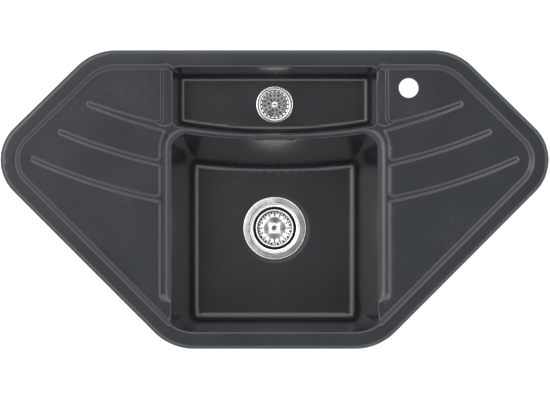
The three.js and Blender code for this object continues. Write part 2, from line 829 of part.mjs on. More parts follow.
/** Housing under the main bowl: flange, chamber, outlet below and an inlet at the back. */
function mainWasteBodyPiece() {
  const foot = bodyTop - mainBodyDepth;
  const outletRadius = outletDiameter / 2 - wasteWall;
  const end = foot - mainFunnel - outletLength;
  const line = [
    [mainBodyRadius, bodyTop],
    [mainBodyRadius, foot],
    [outletRadius, foot - mainFunnel],
    [outletRadius, end],
  ].reverse();
  const shell = revolve(sheetProfile(line, wasteWall), 32);
  const flange = ringSolid(mainBodyRadius + 1, mainFlange / 2, bodyTop - wasteFlange, bodyTop, 32);
  const centre = hub(mainBodyRadius + 1, clampDiameter + 2 * roundFit, -cupDepth - steel - fit, hubDepth);
  const out = mainBodyRadius + wasteWall;
  const lying = (radius, from, to) =>
    new THREE.CylinderGeometry(radius, radius, to - from, 20).translate(0, (from + to) / 2, -inletDepth);
  const spigotEnd = out + spigotLength;
  const spigot = lying(spigotOuter, mainBodyRadius + 1, spigotEnd);
  const bore = lying(spigotBore, mainBodyRadius - 8, spigotEnd + 1);
  const socket = lying(socketRadius, spigotEnd - socketDepth, spigotEnd + 1);
  const whole = joinAll([shell, flange, spigot, ...centre.solids]);
  return geometryOf([centre.bore, bore, socket].reduce((left, cut) => left.subtract(solid(cut)), whole));
}

const gridFloor = flangeTop - gridDishDepth;
const gridUnder = gridFloor - steel;
const hubGap = 8;

/** Housing under the half bowl, narrowing to a socket for the link pipe. */
function halfWasteBodyPiece() {
  const foot = bodyTop - halfBodyDepth;
  const line = [
    [halfBodyRadius, bodyTop],
    [halfBodyRadius, foot],
    [spigotBore, foot - halfFunnel],
    [spigotBore, foot - halfFunnel - spigotLength + socketDepth],
    [socketRadius, foot - halfFunnel - spigotLength + socketDepth],
    [socketRadius, foot - halfFunnel - spigotLength],
  ];
  const outside = [
    [spigotOuter, foot - halfFunnel - spigotLength],
    [spigotOuter, foot - halfFunnel],
    [halfBodyRadius + wasteWall, foot + wasteWall],
    [halfBodyRadius + wasteWall, bodyTop - wasteFlange],
    [gridDiameter / 2, bodyTop - wasteFlange],
    [gridDiameter / 2, bodyTop],
  ];
  const shell = revolve([...line, ...outside], 24);
  const hole = gridScrewDiameter + 2 * roundFit;
  const centre = hub(halfBodyRadius + 1, hole, gridUnder - hubGap, hubDepth);
  return geometryOf(joinAll([shell, ...centre.solids]).subtract(solid(centre.bore)));
}

/** Fixed grid of the half bowl: a pressed dish with three rings of holes. */
function gridPiece() {
  const edge = gridDiameter / 2;
  const line = [
    [gridScrewDiameter / 2 + roundFit, gridFloor],
    [gridDish - 0.6, gridFloor],
    [gridDish, flangeTop - 0.6],
    [gridDish + 0.8, flangeTop],
    [edge, flangeTop],
  ];
  const holes = gridRings.flatMap(([count, ring, diameter]) =>
    around(count, (angle) => {
      const [x, y] = [ring * Math.cos(angle), ring * Math.sin(angle)];
      return post(diameter, gridFloor - 5, gridFloor + 5, x, y, 6);
    }),
  );
  return cutAll(revolve(sheetProfile(line, steel), 32), holes);
}

/** Union nut: a cap with grip ribs that draws the seal onto a spigot. */
function nutPiece() {
  const inner = spigotOuter + roundFit;
  const outer = inner + nutWall;
  const profile = [
    [inner, 0],
    [outer, 0],
    [outer, nutLength],
    [outer - 1.5, nutLength + nutEnd],
    [pipeDiameter / 2 + roundFit, nutLength + nutEnd],
    [pipeDiameter / 2 + roundFit, nutLength],
    [inner, nutLength],
  ];
  const ribs = around(nutRibs, (angle) =>
    box(outer - 0.8, -1.6, 1.5, outer + 1.6, 1.6, nutLength - 1).rotateZ(angle),
  );
  return geometryOf(joinAll([revolve(profile, 20), ...ribs]));
}

function linkSealPiece() {
  const inner = pipeDiameter / 2 + roundFit;
  return revolve([[inner, 0], [spigotOuter - 0.5, 0], [inner + 1.2, sealLength], [inner, sealLength]], 20);
}

// The link pipe runs down from the half bowl's socket and forwards to the main inlet
const inletZ = mainFloorZ - inletDepth;
const halfSpigotZ = halfFloorZ + bodyTop - halfBodyDepth - halfFunnel - spigotLength;
const mainSpigotY = mainWasteY + mainBodyRadius + wasteWall + spigotLength;
const pipeStop = 1;

function linkPipePiece() {
  const top = new THREE.Vector3(0, halfWasteY, halfSpigotZ + socketDepth - pipeStop);
  const corner = new THREE.Vector3(0, halfWasteY, inletZ);
  const end = new THREE.Vector3(0, mainSpigotY - socketDepth + pipeStop, inletZ);
  const bendStart = corner.clone().setZ(inletZ + pipeBend);
  const bendEnd = corner.clone().setY(halfWasteY - pipeBend);
  const path = new THREE.CurvePath();
  path.add(new THREE.LineCurve3(top, bendStart));
  path.add(new THREE.QuadraticBezierCurve3(bendStart, corner, bendEnd));
  path.add(new THREE.LineCurve3(bendEnd, end));
  const section = new THREE.Shape().absarc(0, 0, pipeDiameter / 2, 0, 2 * Math.PI);
  section.holes.push(new THREE.Path().absarc(0, 0, pipeDiameter / 2 - pipeWall, 0, 2 * Math.PI, true));
  return new THREE.ExtrudeGeometry(section, { steps: 14, curveSegments: 6, extrudePath: path });
}

// ---------------------------------------------------------------- lift-out basket

const basketTopZ = -basketFloor + basketHeight;
const domeTopZ = -basketFloor + basketDomeRise;
const coneRadius = (z) =>
  cupConeTop + ((z + cupConeDepth) * (cupConeTop - cupConeFoot)) / cupConeHeight;
const sealFoot = -cupConeDepth - cupConeHeight * 0.56;
const sealTop = sealFoot + sealThick;
const washerFoot = sealFoot - fit - steel;

/** Basket: a dome, a trough with holes and a slotted wall of sixteen fingers. */
function basketCupPiece() {
  const line = [
    [stemDiameter / 2 + roundFit, domeTopZ],
    [knobDiameter / 2, domeTopZ],
    [basketDome, -basketFloor + 0.9],
    [basketHoleCircle, -basketFloor],
    [basketHoleCircle + 3, -basketFloor + 1.2],
    [basketRadius - 2.4, basketTopZ - 1],
    [basketRadius, basketTopZ],
  ];
  const holes = around(basketHoles, (angle) => {
    const [x, y] = [basketHoleCircle * Math.cos(angle), basketHoleCircle * Math.sin(angle)];
    return post(basketHole, -basketFloor - 5, -basketFloor + 5, x, y, 6);
  });
  const slotInner = basketHoleCircle + 4.2;
  const slots = around(basketHoles, (angle) =>
    box(slotInner, -basketSlotWidth / 2, -basketFloor - 3, basketRadius - 2.6, basketSlotWidth / 2, 0)
      .rotateZ(angle + Math.PI / basketHoles),
  );
  return cutAll(revolve(sheetProfile(line, basketSteel), 32), [...holes, ...slots]);
}

function knobPiece() {
  const [radius, base] = [knobDiameter / 2, domeTopZ + fit];
  const shape = revolve(
    [[0, base], [knobNeck / 2, base], [knobNeck / 2, base + knobHeight * 0.35],
      [radius, base + knobHeight * 0.62], [radius, base + knobHeight * 0.85],
      [radius - 1.5, base + knobHeight], [0, base + knobHeight]],
    20,
  );
  const socket = post(stemDiameter + 2 * roundFit, base - 1, base + knobHeight / 2 + fit, 0, 0, 12);
  return cutAll(shape, [socket]);
}

/** Stem: its collar carries the basket over the seal, its foot holds the washer. */
function stemPiece() {
  const [shank, collar, foot] = [stemDiameter / 2, stemCollar / 2, stemFoot / 2];
  const collarTop = domeTopZ - basketSteel - fit;
  return revolve(
    [[0, washerFoot - fit - stemFootHeight], [foot, washerFoot - fit - stemFootHeight],
      [foot, washerFoot - fit], [shank, washerFoot - fit], [shank, sealTop + fit],
      [collar, sealTop + fit], [collar, collarTop], [shank, collarTop],
      [shank, domeTopZ + knobHeight / 2], [0, domeTopZ + knobHeight / 2]],
    12,
  );
}

function sealPiece() {
  const hole = stemDiameter / 2 + fit;
  const lip = coneRadius(sealFoot) - 0.3;
  return revolve(
    [[hole, sealFoot], [lip, sealFoot], [lip + 0.7, sealFoot + 1], [lip, sealTop],
      [lip - 3, sealTop - 0.8], [stemCollar, sealTop - 0.8], [stemCollar - 1, sealTop],
      [hole, sealTop]],
    24,
  );
}

function washerPiece() {
  return ringSolid(stemDiameter / 2 + fit, sealWasher / 2, washerFoot, washerFoot + steel, 20);
}

// ---------------------------------------------------------------- worktop clips

/** Bent steel strap: arm under the sink, drop past the worktop, tooth under it. */
function clipPiece() {
  const top = -panDepth - fit;
  const underside = -worktop - fit;
  const low = underside - clipTooth;
  const strap = new THREE.Shape([
    [-clipArm, top],
    [-clipArm, top - clipSteel],
    [-clipSteel, top - clipSteel],
    [-clipSteel, low - clipSteel],
    [clipReach, low - clipSteel],
    [clipReach, underside],
    [clipReach - clipSteel, underside],
    [clipReach - clipSteel, low],
    [0, low],
    [0, top],
  ].map(([x, y]) => new THREE.Vector2(x, y)));
  const bent = new THREE.ExtrudeGeometry(strap, { depth: clipWidth, bevelEnabled: false });
  bent.rotateX(Math.PI / 2).translate(0, clipWidth / 2, 0);
  const hole = post(clipScrewDiameter + 2 * roundFit, top - 10, top + 5, -screwInset, 0, 8);
  return cutAll(bent, [hole]);
}

function clipScrewPiece() {
  const seat = -panDepth - fit - clipSteel - fit;
  const [shank, head] = [clipScrewDiameter / 2, clipScrewHead / 2];
  const tip = clipScrewBite - panDepth - 0.5;
  return revolve(
    [[0, seat - clipScrewHeadHeight], [head - 1, seat - clipScrewHeadHeight], [head, seat],
      [shank, seat], [shank, tip - 1], [0, tip]],
    8,
  );
}

// ---------------------------------------------------------------- materials and the group

const finishes = {
  graphite: { color: 0x3b3e42, roughness: 0.5, metalness: 0 },
  steel: { color: 0xc9cbcc, roughness: 0.25, metalness: 1 },
  rubber: { color: 0x1c1c1e, roughness: 0.8, metalness: 0 },
  plastic: { color: 0xe8e8e4, roughness: 0.45, metalness: 0 },
};

const sink = new THREE.Group();

function place(name, finish, geometry, x = 0, y = 0, z = 0, turn = 0) {
  const mesh = new THREE.Mesh(geometry, new THREE.MeshStandardMaterial(finishes[finish]));
  mesh.name = name;
  mesh.position.set(x, y, z);
  mesh.rotation.z = turn;
  sink.add(mesh);
  return mesh;
}

place('sink_body', 'graphite', geometryOf(sinkBody()));

const atMain = [0, mainWasteY, mainFloorZ];
const mainGasket = [cupThroat + steel + gasketInset, mainFlange / 2 - gasketInset];
place('main_flange', 'steel', mainFlangePiece(), ...atMain);
place('main_flange_gasket', 'rubber', ringSolid(...mainGasket, gasketTop - gasketThick, gasketTop), ...atMain);
place(
  'main_body_gasket',
  'rubber',
  ringSolid(mainHole / 2 + 0.5, mainFlange / 2 - gasketInset, underGasketFoot, bowlUnder - fit),
  ...atMain,
);
place('main_waste_body', 'plastic', mainWasteBodyPiece(), ...atMain);
place('main_clamp_screw', 'steel', clampScrewPiece(), 0, mainWasteY, mainFloorZ - cupDepth + fit);

place('basket_cup', 'steel', basketCupPiece(), ...atMain);
place('basket_knob', 'steel', knobPiece(), ...atMain);
place('basket_stem', 'steel', stemPiece(), ...atMain);
place('basket_seal', 'rubber', sealPiece(), ...atMain);
place('basket_seal_washer', 'steel', washerPiece(), ...atMain);

const atHalf = [0, halfWasteY, halfFloorZ];
const halfGasket = [halfHole / 2 + 0.5, gridDiameter / 2 - 0.5];
place('grid_plate', 'steel', gridPiece(), ...atHalf);
place('grid_screw', 'steel', gridScrewPiece(), 0, halfWasteY, halfFloorZ + gridFloor + fit);
place('grid_gasket', 'rubber', ringSolid(...halfGasket, gasketTop - gasketThick, gasketTop, 28), ...atHalf);
place(
  'half_body_gasket',
  'rubber',
  ringSolid(...halfGasket, underGasketFoot, bowlUnder - fit, 28),
  ...atHalf,
);
place('half_waste_body', 'plastic', halfWasteBodyPiece(), ...atHalf);

place('link_pipe', 'plastic', linkPipePiece());
const sealTopZ = halfSpigotZ - fit;
const sealBackY = mainSpigotY + fit;
place('link_seal_top', 'rubber', linkSealPiece().rotateX(Math.PI), 0, halfWasteY, sealTopZ);
place('link_seal_side', 'rubber', linkSealPiece().rotateX(-Math.PI / 2), 0, sealBackY, inletZ);
const nutSeat = sealLength + 2 * fit - nutLength;
place('link_nut_top', 'plastic', nutPiece().rotateX(Math.PI), 0, halfWasteY, halfSpigotZ - nutSeat);
place('link_nut_side', 'plastic', nutPiece().rotateX(-Math.PI / 2), 0, mainSpigotY + nutSeat, inletZ);

clipPlaces.forEach(({ x, y, out, turn }, i) => {
  place(`clip_${i + 1}`, 'steel', clipPiece(), x, y, 0, turn);
  const [screwX, screwY] = [x - out.x * screwInset, y - out.y * screwInset];
  place(`clip_screw_${i + 1}`, 'steel', clipScrewPiece(), screwX, screwY);
});

export default sink;
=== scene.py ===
# Looks of the corner kitchen sink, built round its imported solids.
# Plan sizes and heights are in millimetres in the CAD frame, and MM turns them into metres.
import json
import math

import bmesh
import bpy
import numpy as np
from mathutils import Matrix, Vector
from mathutils.geometry import delaunay_2d_cdt


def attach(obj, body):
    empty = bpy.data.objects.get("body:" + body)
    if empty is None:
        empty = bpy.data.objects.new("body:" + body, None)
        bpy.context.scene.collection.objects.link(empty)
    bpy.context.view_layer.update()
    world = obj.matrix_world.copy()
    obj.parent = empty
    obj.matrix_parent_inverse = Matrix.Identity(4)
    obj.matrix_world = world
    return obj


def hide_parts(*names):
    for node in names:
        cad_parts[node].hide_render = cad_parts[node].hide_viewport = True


MM = 0.001
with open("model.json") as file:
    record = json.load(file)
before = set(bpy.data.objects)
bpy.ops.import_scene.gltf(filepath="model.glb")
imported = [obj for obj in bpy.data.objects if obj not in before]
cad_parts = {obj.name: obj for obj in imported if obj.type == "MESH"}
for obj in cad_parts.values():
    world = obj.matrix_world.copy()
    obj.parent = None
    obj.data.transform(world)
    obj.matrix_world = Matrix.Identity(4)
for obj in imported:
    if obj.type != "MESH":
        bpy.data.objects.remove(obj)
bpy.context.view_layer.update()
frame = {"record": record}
scene = bpy.context.scene


# ---------------------------------------------------------------- sizes

# Outline in plan: sharp corner and rounding of the right half's three corners
CORNERS = [(184.8, -265.5, 100.0), (521.0, 71.0, 80.0), (322.4, 265.5, 100.0)]
BACK_Y = 265.5

# Rim: its top, its rounded outer edge, the slope down inside it, and the insets between which the
# channels and shoulder start; then its seat on the worktop and the pan inside that
RIM_TOP = 12.0
EDGE_WIDTH, EDGE_HEIGHT = 7.0, 6.0
SLOPE = (24.5, 28.0, 33.0, 35.5)
RIM_END = (22.0, 29.0)
SEAT_WIDTH, PAN_WIDTH, PAN_DEPTH = 18.0, 21.2, 6.5

# Drainers: how far they lie below the rim at their outer ends, and their fall to the bowls
DRAINER_DROP, DRAINER_FALL, DRAINER_END = 4.8, 0.0075, 441.0

# Strip beside the main bowl, and the shoulder that rolls from it into the bowl: its width, radius
# and greatest lean (a sine), at the sides and on the divider, with the places where one becomes
# the other, the fine bead at its foot, the lip at the opening, and its end at the front
PAD_END, WALL_RUN = 20.9, 2.4
STRIP_DEPTH = 2.0
SHOULDER_WIDTH, SHOULDER_RADIUS = 14.4, 15.5
DIVIDER_WIDTH, DIVIDER_RADIUS = 9.0, 5.2
SIDE_LEAN, DIVIDER_LEAN = 0.80, 0.73
DIVIDER_SPAN = (184.0, 150.0)
BEAD_WIDTH, BEAD_SLOPE, BEAD_BLEND = 2.0, 0.45, 0.25
LIP_WIDTH, LIP_SLOPE = 0.5, 5.0
FADE_START, FADE_END = -165.0, -184.0

# Grooves: outer tip, place where they meet the strip, half width at each end
GROOVES = [
    ((333.6, 171.1), (198.6, 129.0), 3.7, 6.2),
    ((384.3, 121.5), (198.6, 63.2), 3.7, 4.1),
    ((432.8, 73.2), (198.6, -0.9), 3.7, 4.1),
]
GROOVE_ARC = 1000.0
GROOVE_TIP_DEPTH, GROOVE_FOOT_X = 1.5, 206.0
PAD_BACK_RADIUS, PAD_FRONT_RADIUS = 3.5, 9.0

# Tongue between the right or left ledge and the half bowl
LEDGE_END, TONGUE_DROP, TONGUE_STEP = 200.1, 0.8, 2.6
TONGUE_RUN, TONGUE_END_RUN = 0.6, 1.7
TONGUE_ARC_CENTRE, TONGUE_ARC = (196.0, 150.9), 20.0

# Bowls: openings, floors, and how the rim rolls into them near the front and back edges
MAIN_SIDE, MAIN_BACK, MAIN_BOW, MAIN_BACK_RADIUS = 183.2, 105.4, 14.7, 30.0
MAIN_FLOOR = dict(side=149.8, back=59.6, back_bow=9.5, front=-220.8, front_bow=0.0, radius=11.0)
MAIN_FLOOR_Z, MAIN_FILLET = -188.0, 15.0
HALF_SIDE, HALF_FRONT, HALF_BOW = 180.0, 116.0, 15.9
HALF_FLOOR = dict(side=170.3, back=221.2, back_bow=0.0, front=121.0, front_bow=15.1, radius=8.0)
HALF_FLOOR_Z, HALF_FILLET, HALF_RADIUS = -78.0, 11.0, 9.0
OPENING_INSET, RIM_ROLL, RAMP_SHIFT = 32.0, 5.0, 7.5
RAMP_SHIFT_SPAN = (190.0, 179.0)
MAIN_ROUND, HALF_ROUND = 2.2, 3.0
MAIN_ROLL_SPAN, HALF_ROLL_SPAN = (-196.0, -214.0), (205.0, 224.0)
BOWL_WALL, LEAST_RUN = 8.0, 5.0

# Holes, the seats of the wastes, and the shallow dish in the floor round the main one
TAP_X, TAP_Y, TAP_RADIUS = 238.4, 198.3, 17.5
MAIN_Y, HALF_Y = -52.5, 171.0
MAIN_SEAT, MAIN_HOLE, HALF_SEAT, HALF_HOLE = 58.0, 45.5, 33.5, 27.0
SEAT_DEPTH = 3.0
DISH_DEPTH, DISH_WIDTH = 0.55, 7.5


# ---------------------------------------------------------------- plan geometry

def full_corners():
    mirrored = [(-x, y, r) for x, y, r in reversed(CORNERS)]
    return CORNERS + mirrored


def outline_parts():
    """Edges as (start, direction, inward normal), corner arcs as (centre, radius, directions)."""
    corners = full_corners()
    count = len(corners)
    edges = []
    for i, (x, y, _) in enumerate(corners):
        nx, ny, _ = corners[(i + 1) % count]
        along = np.array([nx - x, ny - y])
        along /= np.linalg.norm(along)
        edges.append((np.array([x, y]), along, np.array([-along[1], along[0]])))
    arcs = []
    for i, (x, y, radius) in enumerate(corners):
        before, after = edges[i - 1], edges[i]
        half_turn = math.acos(np.clip(before[1] @ after[1], -1, 1)) / 2
        inwards = before[2] + after[2]
        inwards /= np.linalg.norm(inwards)
        centre = np.array([x, y]) + inwards * radius / math.cos(half_turn)
        arcs.append((centre, radius, before[1], after[1]))
    return edges, arcs


EDGES, ARCS = outline_parts()


def inset(x, y):
    """How far inside the outline each point lies."""
    far = np.full(np.shape(x), 1e9)
    for start, _, normal in EDGES:
        far = np.minimum(far, (x - start[0]) * normal[0] + (y - start[1]) * normal[1])
    for centre, radius, arriving, leaving in ARCS:
        px, py = x - centre[0], y - centre[1]
        past_start = px * arriving[0] + py * arriving[1] > 0
        in_wedge = past_start & (px * leaving[0] + py * leaving[1] < 0)
        far = np.where(in_wedge, np.minimum(far, radius - np.hypot(px, py)), far)
    return far


def outline_loop(depth, spacing):
    """Points along the outline moved inwards by depth, anticlockwise."""
    corners = full_corners()
    count = len(corners)
    points, arcs = [], []
    for centre, radius, arriving, leaving in ARCS:
        r = radius - depth
        start = math.atan2(-arriving[0], arriving[1])
        turn = math.acos(np.clip(arriving @ leaving, -1, 1))
        steps = max(int(math.ceil(radius * turn / spacing)), 4)
        angles = start + np.linspace(0, turn, steps + 1)
        arcs.append([(centre[0] + r * math.cos(a), centre[1] + r * math.sin(a)) for a in angles])
    for i in range(count):
        points.extend(arcs[i])
        here, there = np.array(arcs[i][-1]), np.array(arcs[(i + 1) % count][0])
        steps = max(int(math.ceil(np.linalg.norm(there - here) / spacing)), 2)
        points.extend(tuple(here + (there - here) * k / steps) for k in range(1, steps))
    return np.array(points)


def circle_loop(x, y, radius, count):
    angles = 2 * math.pi * np.arange(count) / count
    return np.column_stack([x + radius * np.cos(angles), y + radius * np.sin(angles)])


def round_min(a, b, radius):
    """The lesser of two distances, with the corner between them rounded."""
    inner = np.hypot(np.maximum(radius - a, 0), np.maximum(radius - b, 0))
    return np.minimum(np.maximum(a, radius), np.maximum(b, radius)) - inner


def smooth(low, high, value):
    t = np.clip((value - low) / (high - low), 0, 1)
    return t * t * (3 - 2 * t)


def eased_ramp(value, a, b, c, d):
    """Rises 0 to 1 from a to d, straight from b to c and rounded at both ends."""
    area = (b - a) / 2 + (c - b) + (d - c) / 2
    first = np.clip(value - a, 0, b - a) ** 2 / (2 * (b - a))
    middle = np.clip(value - b, 0, c - b)
    last = (d - c) / 2 - (d - np.clip(value, c, d)) ** 2 / (2 * (d - c))
    return (first + middle + last) / area


def wall_step(distance, run=WALL_RUN):
    """1 well below zero, 0 well above it, straight between."""
    return 1 - eased_ramp(distance, -run, -0.35 * run, 0.35 * run, run)


# ---------------------------------------------------------------- bowls in plan

def bowed_inside(x, y, p):
    """Distance inside a bowl's floor ring."""
    ax = np.abs(x)
    bow = (ax / p["side"]) ** 2
    side = p["side"] - ax
    back = p["back"] + p["back_bow"] * bow - y
    front = y - p["front"] - p["front_bow"] * bow
    return round_min(round_min(side, back, p["radius"]), front, p["radius"])


def main_mouth(x, y):
    """Distance inside the main bowl's opening."""
    ax = np.abs(x)
    slope = 2 * MAIN_BOW * np.minimum(ax, MAIN_SIDE) / MAIN_SIDE**2
    back = (MAIN_BACK + MAIN_BOW * (ax / MAIN_SIDE) ** 2 - y) / np.sqrt(1 + slope**2)
    sides = round_min(MAIN_SIDE - ax, back, MAIN_BACK_RADIUS)
    return round_min(sides, inset(x, y) - OPENING_INSET, 3.0)


def half_mouth(x, y):
    """Distance inside the half bowl's opening."""
    ax = np.abs(x)
    slope = 2 * HALF_BOW * np.minimum(ax, HALF_SIDE) / HALF_SIDE**2
    front = (y - HALF_FRONT - HALF_BOW * (ax / HALF_SIDE) ** 2) / np.sqrt(1 + slope**2)
    back = BACK_Y - OPENING_INSET - y
    sides = round_min(HALF_SIDE - ax, back, HALF_RADIUS)
    return round_min(sides, front, HALF_RADIUS)


BOWLS = [
    (main_mouth, MAIN_FLOOR, MAIN_FLOOR_Z, MAIN_FILLET),
    (half_mouth, HALF_FLOOR, HALF_FLOOR_Z, HALF_FILLET),
]


# ---------------------------------------------------------------- deck height

def drainer_plane(x):
    return RIM_TOP - DRAINER_DROP - DRAINER_FALL * (DRAINER_END - np.abs(x))


def groove_arc(tip, foot):
    """Centre of the arc through both points that bulges to the front."""
    tip, foot = np.array(tip), np.array(foot)
    middle, chord = (tip + foot) / 2, foot - tip
    half = np.linalg.norm(chord) / 2
    up = np.array([-chord[1], chord[0]]) / (2 * half)
    if up[1] < 0:
        up = -up
    return middle + up * math.sqrt(GROOVE_ARC**2 - half**2)


def groove_field(x, y, groove):
    """Signed distance across a groove (positive in front), and distance outside it."""
    tip, foot, tip_half, foot_half = groove
    ax = np.abs(x)
    centre = groove_arc(tip, foot)
    across = np.hypot(ax - centre[0], y - centre[1]) - GROOVE_ARC
    along = np.clip((tip[0] - ax) / (tip[0] - foot[0]), 0, 1)
    half = tip_half + (foot_half - tip_half) * along
    tangent = np.array([foot[0] - tip[0], foot[1] - tip[1]])
    tangent /= np.linalg.norm(tangent)
    cap = np.array(tip) + tangent * tip_half
    past = np.minimum((ax - cap[0]) * tangent[0] + (y - cap[1]) * tangent[1], 0)
    outside = np.hypot(across, past) - half
    return across, outside


def shoulder_curve(width, radius, steepest):
    """Fall of the shoulder against distance from the bowl's opening: an arc, then a fine bead."""
    reach = np.linspace(0, width, 400)
    turn = np.clip((width - reach) / radius, 0, steepest)
    slope = turn / np.sqrt(1 - turn**2)
    bead = smooth(BEAD_WIDTH + BEAD_BLEND, BEAD_WIDTH - BEAD_BLEND, reach)
    slope = slope * (1 - bead) + BEAD_SLOPE * bead
    slope += LIP_SLOPE * smooth(LIP_WIDTH, 0.0, reach) ** 2
    fall = np.concatenate([[0], np.cumsum((slope[1:] + slope[:-1]) / 2 * np.diff(reach))])
    return reach, fall[-1] - fall


SIDE_SHOULDER = shoulder_curve(SHOULDER_WIDTH, SHOULDER_RADIUS, SIDE_LEAN)
DIVIDER_SHOULDER = shoulder_curve(DIVIDER_WIDTH, DIVIDER_RADIUS, DIVIDER_LEAN)


def mouth_rounding(outside, radius):
    lean = np.clip(radius - outside, 0, radius)
    return radius - np.sqrt(radius**2 - lean**2)


def deck_height(x, y):
    """Height of the rim, ledges, drainers and channels, as if the bowls were filled."""
    ax = np.abs(x)
    main_out = -main_mouth(x, y)
    half_out = -half_mouth(x, y)
    fade = smooth(FADE_END, FADE_START, y)

    pad = main_out - PAD_END
    fields = [groove_field(x, y, groove) for groove in GROOVES]
    plateau = pad
    depth = np.full(np.shape(x), STRIP_DEPTH)
    nearest = np.full(np.shape(x), 1e9)
    for groove, (across, outside) in zip(GROOVES, fields):
        behind = round_min(pad, outside, PAD_FRONT_RADIUS)
        ahead = round_min(pad, outside, PAD_BACK_RADIUS)
        plateau = np.minimum(plateau, np.where(across < 0, behind, ahead))
        shallow = np.clip((ax - GROOVE_FOOT_X) / (groove[0][0] - GROOVE_FOOT_X), 0, 1)
        own_depth = STRIP_DEPTH + (GROOVE_TIP_DEPTH - STRIP_DEPTH) * shallow
        depth = np.where(np.abs(across) < nearest, own_depth, depth)
        nearest = np.minimum(nearest, np.abs(across))
    ledge = round_min(ax - LEDGE_END, fields[0][1], PAD_FRONT_RADIUS)
    behind_ledge_line = fields[0][0] < 0
    plateau = np.where(behind_ledge_line, ledge, plateau)
    tongue_x, tongue_y = TONGUE_ARC_CENTRE
    in_tongue = TONGUE_ARC - np.hypot(ax - tongue_x, np.minimum(y - tongue_y, 0))
    tongue = np.where(behind_ledge_line, 1 - wall_step(in_tongue, TONGUE_END_RUN), 0)
    depth = depth + (TONGUE_DROP - depth) * tongue
    near_step = wall_step(plateau - TONGUE_STEP, TONGUE_RUN)
    two_steps = (near_step + wall_step(plateau + TONGUE_STEP, TONGUE_RUN)) / 2
    step = wall_step(plateau)
    lowered = depth * (step + (two_steps - step) * tongue) * fade

    outside = np.maximum(main_out, 0)
    side_fall = np.interp(outside, *SIDE_SHOULDER)
    divider_fall = np.interp(outside, *DIVIDER_SHOULDER)
    fall = side_fall + (divider_fall - side_fall) * smooth(*DIVIDER_SPAN, ax)
    depth_in = inset(x, y)
    past_rim = depth_in - RAMP_SHIFT * smooth(*RAMP_SHIFT_SPAN, ax)
    lowered = (lowered + fall * fade) * smooth(*RIM_END, past_rim)
    main_radius = MAIN_ROUND + (RIM_ROLL - MAIN_ROUND) * smooth(*MAIN_ROLL_SPAN, y)
    half_radius = HALF_ROUND + (RIM_ROLL - HALF_ROUND) * smooth(*HALF_ROLL_SPAN, y)
    lowered = lowered + mouth_rounding(main_out, main_radius) * (1 - fade)
    lowered = lowered + mouth_rounding(half_out, half_radius)

    ramp = eased_ramp(past_rim, *SLOPE)
    height = RIM_TOP + (drainer_plane(x) - RIM_TOP) * ramp - lowered
    lean = np.clip((EDGE_WIDTH - depth_in) / EDGE_WIDTH, 0, 1)
    return height - EDGE_HEIGHT * (1 - np.sqrt(np.maximum(1 - lean**2, 0)))


def bowl_wall(outside_floor, slope, fillet):
    """Height above a bowl's floor: flat, fillet, then the sloping wall."""
    wall_angle = np.arctan(slope)
    tangent = fillet * np.tan(wall_angle / 2)
    end = tangent * np.cos(wall_angle)
    into = np.clip(outside_floor + tangent, 0, None)
    curve = fillet - np.sqrt(np.maximum(fillet**2 - np.minimum(into, fillet) ** 2, 0))
    return np.where(outside_floor > end, slope * outside_floor, curve)


def top_height(x, y):
    deck = deck_height(x, y)
    height = deck
    for mouth, floor, floor_z, fillet in BOWLS:
        inside = mouth(x, y)
        outside_floor = -bowed_inside(x, y, floor)
        run = np.maximum(outside_floor + inside, LEAST_RUN)
        wall = floor_z + bowl_wall(outside_floor, (deck - floor_z) / run, fillet)
        height = np.where(inside > 0, np.minimum(height, wall), height)
    ring = np.hypot(x, y - MAIN_Y) - MAIN_SEAT
    dish = DISH_DEPTH * (1 - smooth(0.0, DISH_WIDTH, ring))
    return np.where(height < MAIN_FLOOR_Z + 1, height - dish, height)


def under_height(x, y):
    height = -PAN_DEPTH * smooth(SEAT_WIDTH, PAN_WIDTH, inset(x, y))
    for mouth, floor, floor_z, fillet in BOWLS:
        outside_floor = -bowed_inside(x, y, floor)
        run = np.maximum(outside_floor + mouth(x, y), LEAST_RUN)
        slope = (-1 - floor_z) / run
        grown = outside_floor - BOWL_WALL * np.tan(np.arctan(slope) / 2)
        wall = floor_z - BOWL_WALL + bowl_wall(grown, slope, fillet + BOWL_WALL)
        height = np.minimum(height, wall)
    return height


# ---------------------------------------------------------------- meshes from heights

def leaf_points(height, box, size, smallest, turn, samples=9):
    """Corners of square cells, split until the surface turns little within each."""
    x0, y0, x1, y1 = box
    columns = int(math.ceil((x1 - x0) / size))
    rows = int(math.ceil((y1 - y0) / size))
    gx, gy = np.meshgrid(x0 + size * np.arange(columns), y0 + size * np.arange(rows))
    cells = np.column_stack([gx.ravel(), gy.ravel()])
    points = []
    step = 0.02
    while len(cells):
        if size <= smallest:
            split = np.zeros(len(cells), bool)
        else:
            t = (np.arange(samples) + 0.5) / samples * size
            ox, oy = np.meshgrid(t, t)
            px = cells[:, :1] + ox.ravel()
            py = cells[:, 1:] + oy.ravel()
            slope_x = (height(px + step, py) - height(px - step, py)) / (2 * step)
            slope_y = (height(px, py + step) - height(px, py - step)) / (2 * step)
            scale = 1 / np.sqrt(1 + slope_x**2 + slope_y**2)
            normals = np.stack([slope_x * scale, slope_y * scale, scale], -1)
            span = normals.max(1) - normals.min(1)
            split = np.linalg.norm(span, axis=1) > turn
        for ox, oy in ((0, 0), (size, 0), (0, size), (size, size)):
            points.append(cells[~split] + (ox, oy))
        parents = cells[split]
        size /= 2
        samples = max(samples - 2, 3)
        quarters = ((0, 0), (size, 0), (0, size), (size, size))
        cells = np.concatenate([parents + q for q in quarters]) if len(parents) else parents
    points = np.concatenate(points)
    return np.unique(np.round(points, 4), axis=0)


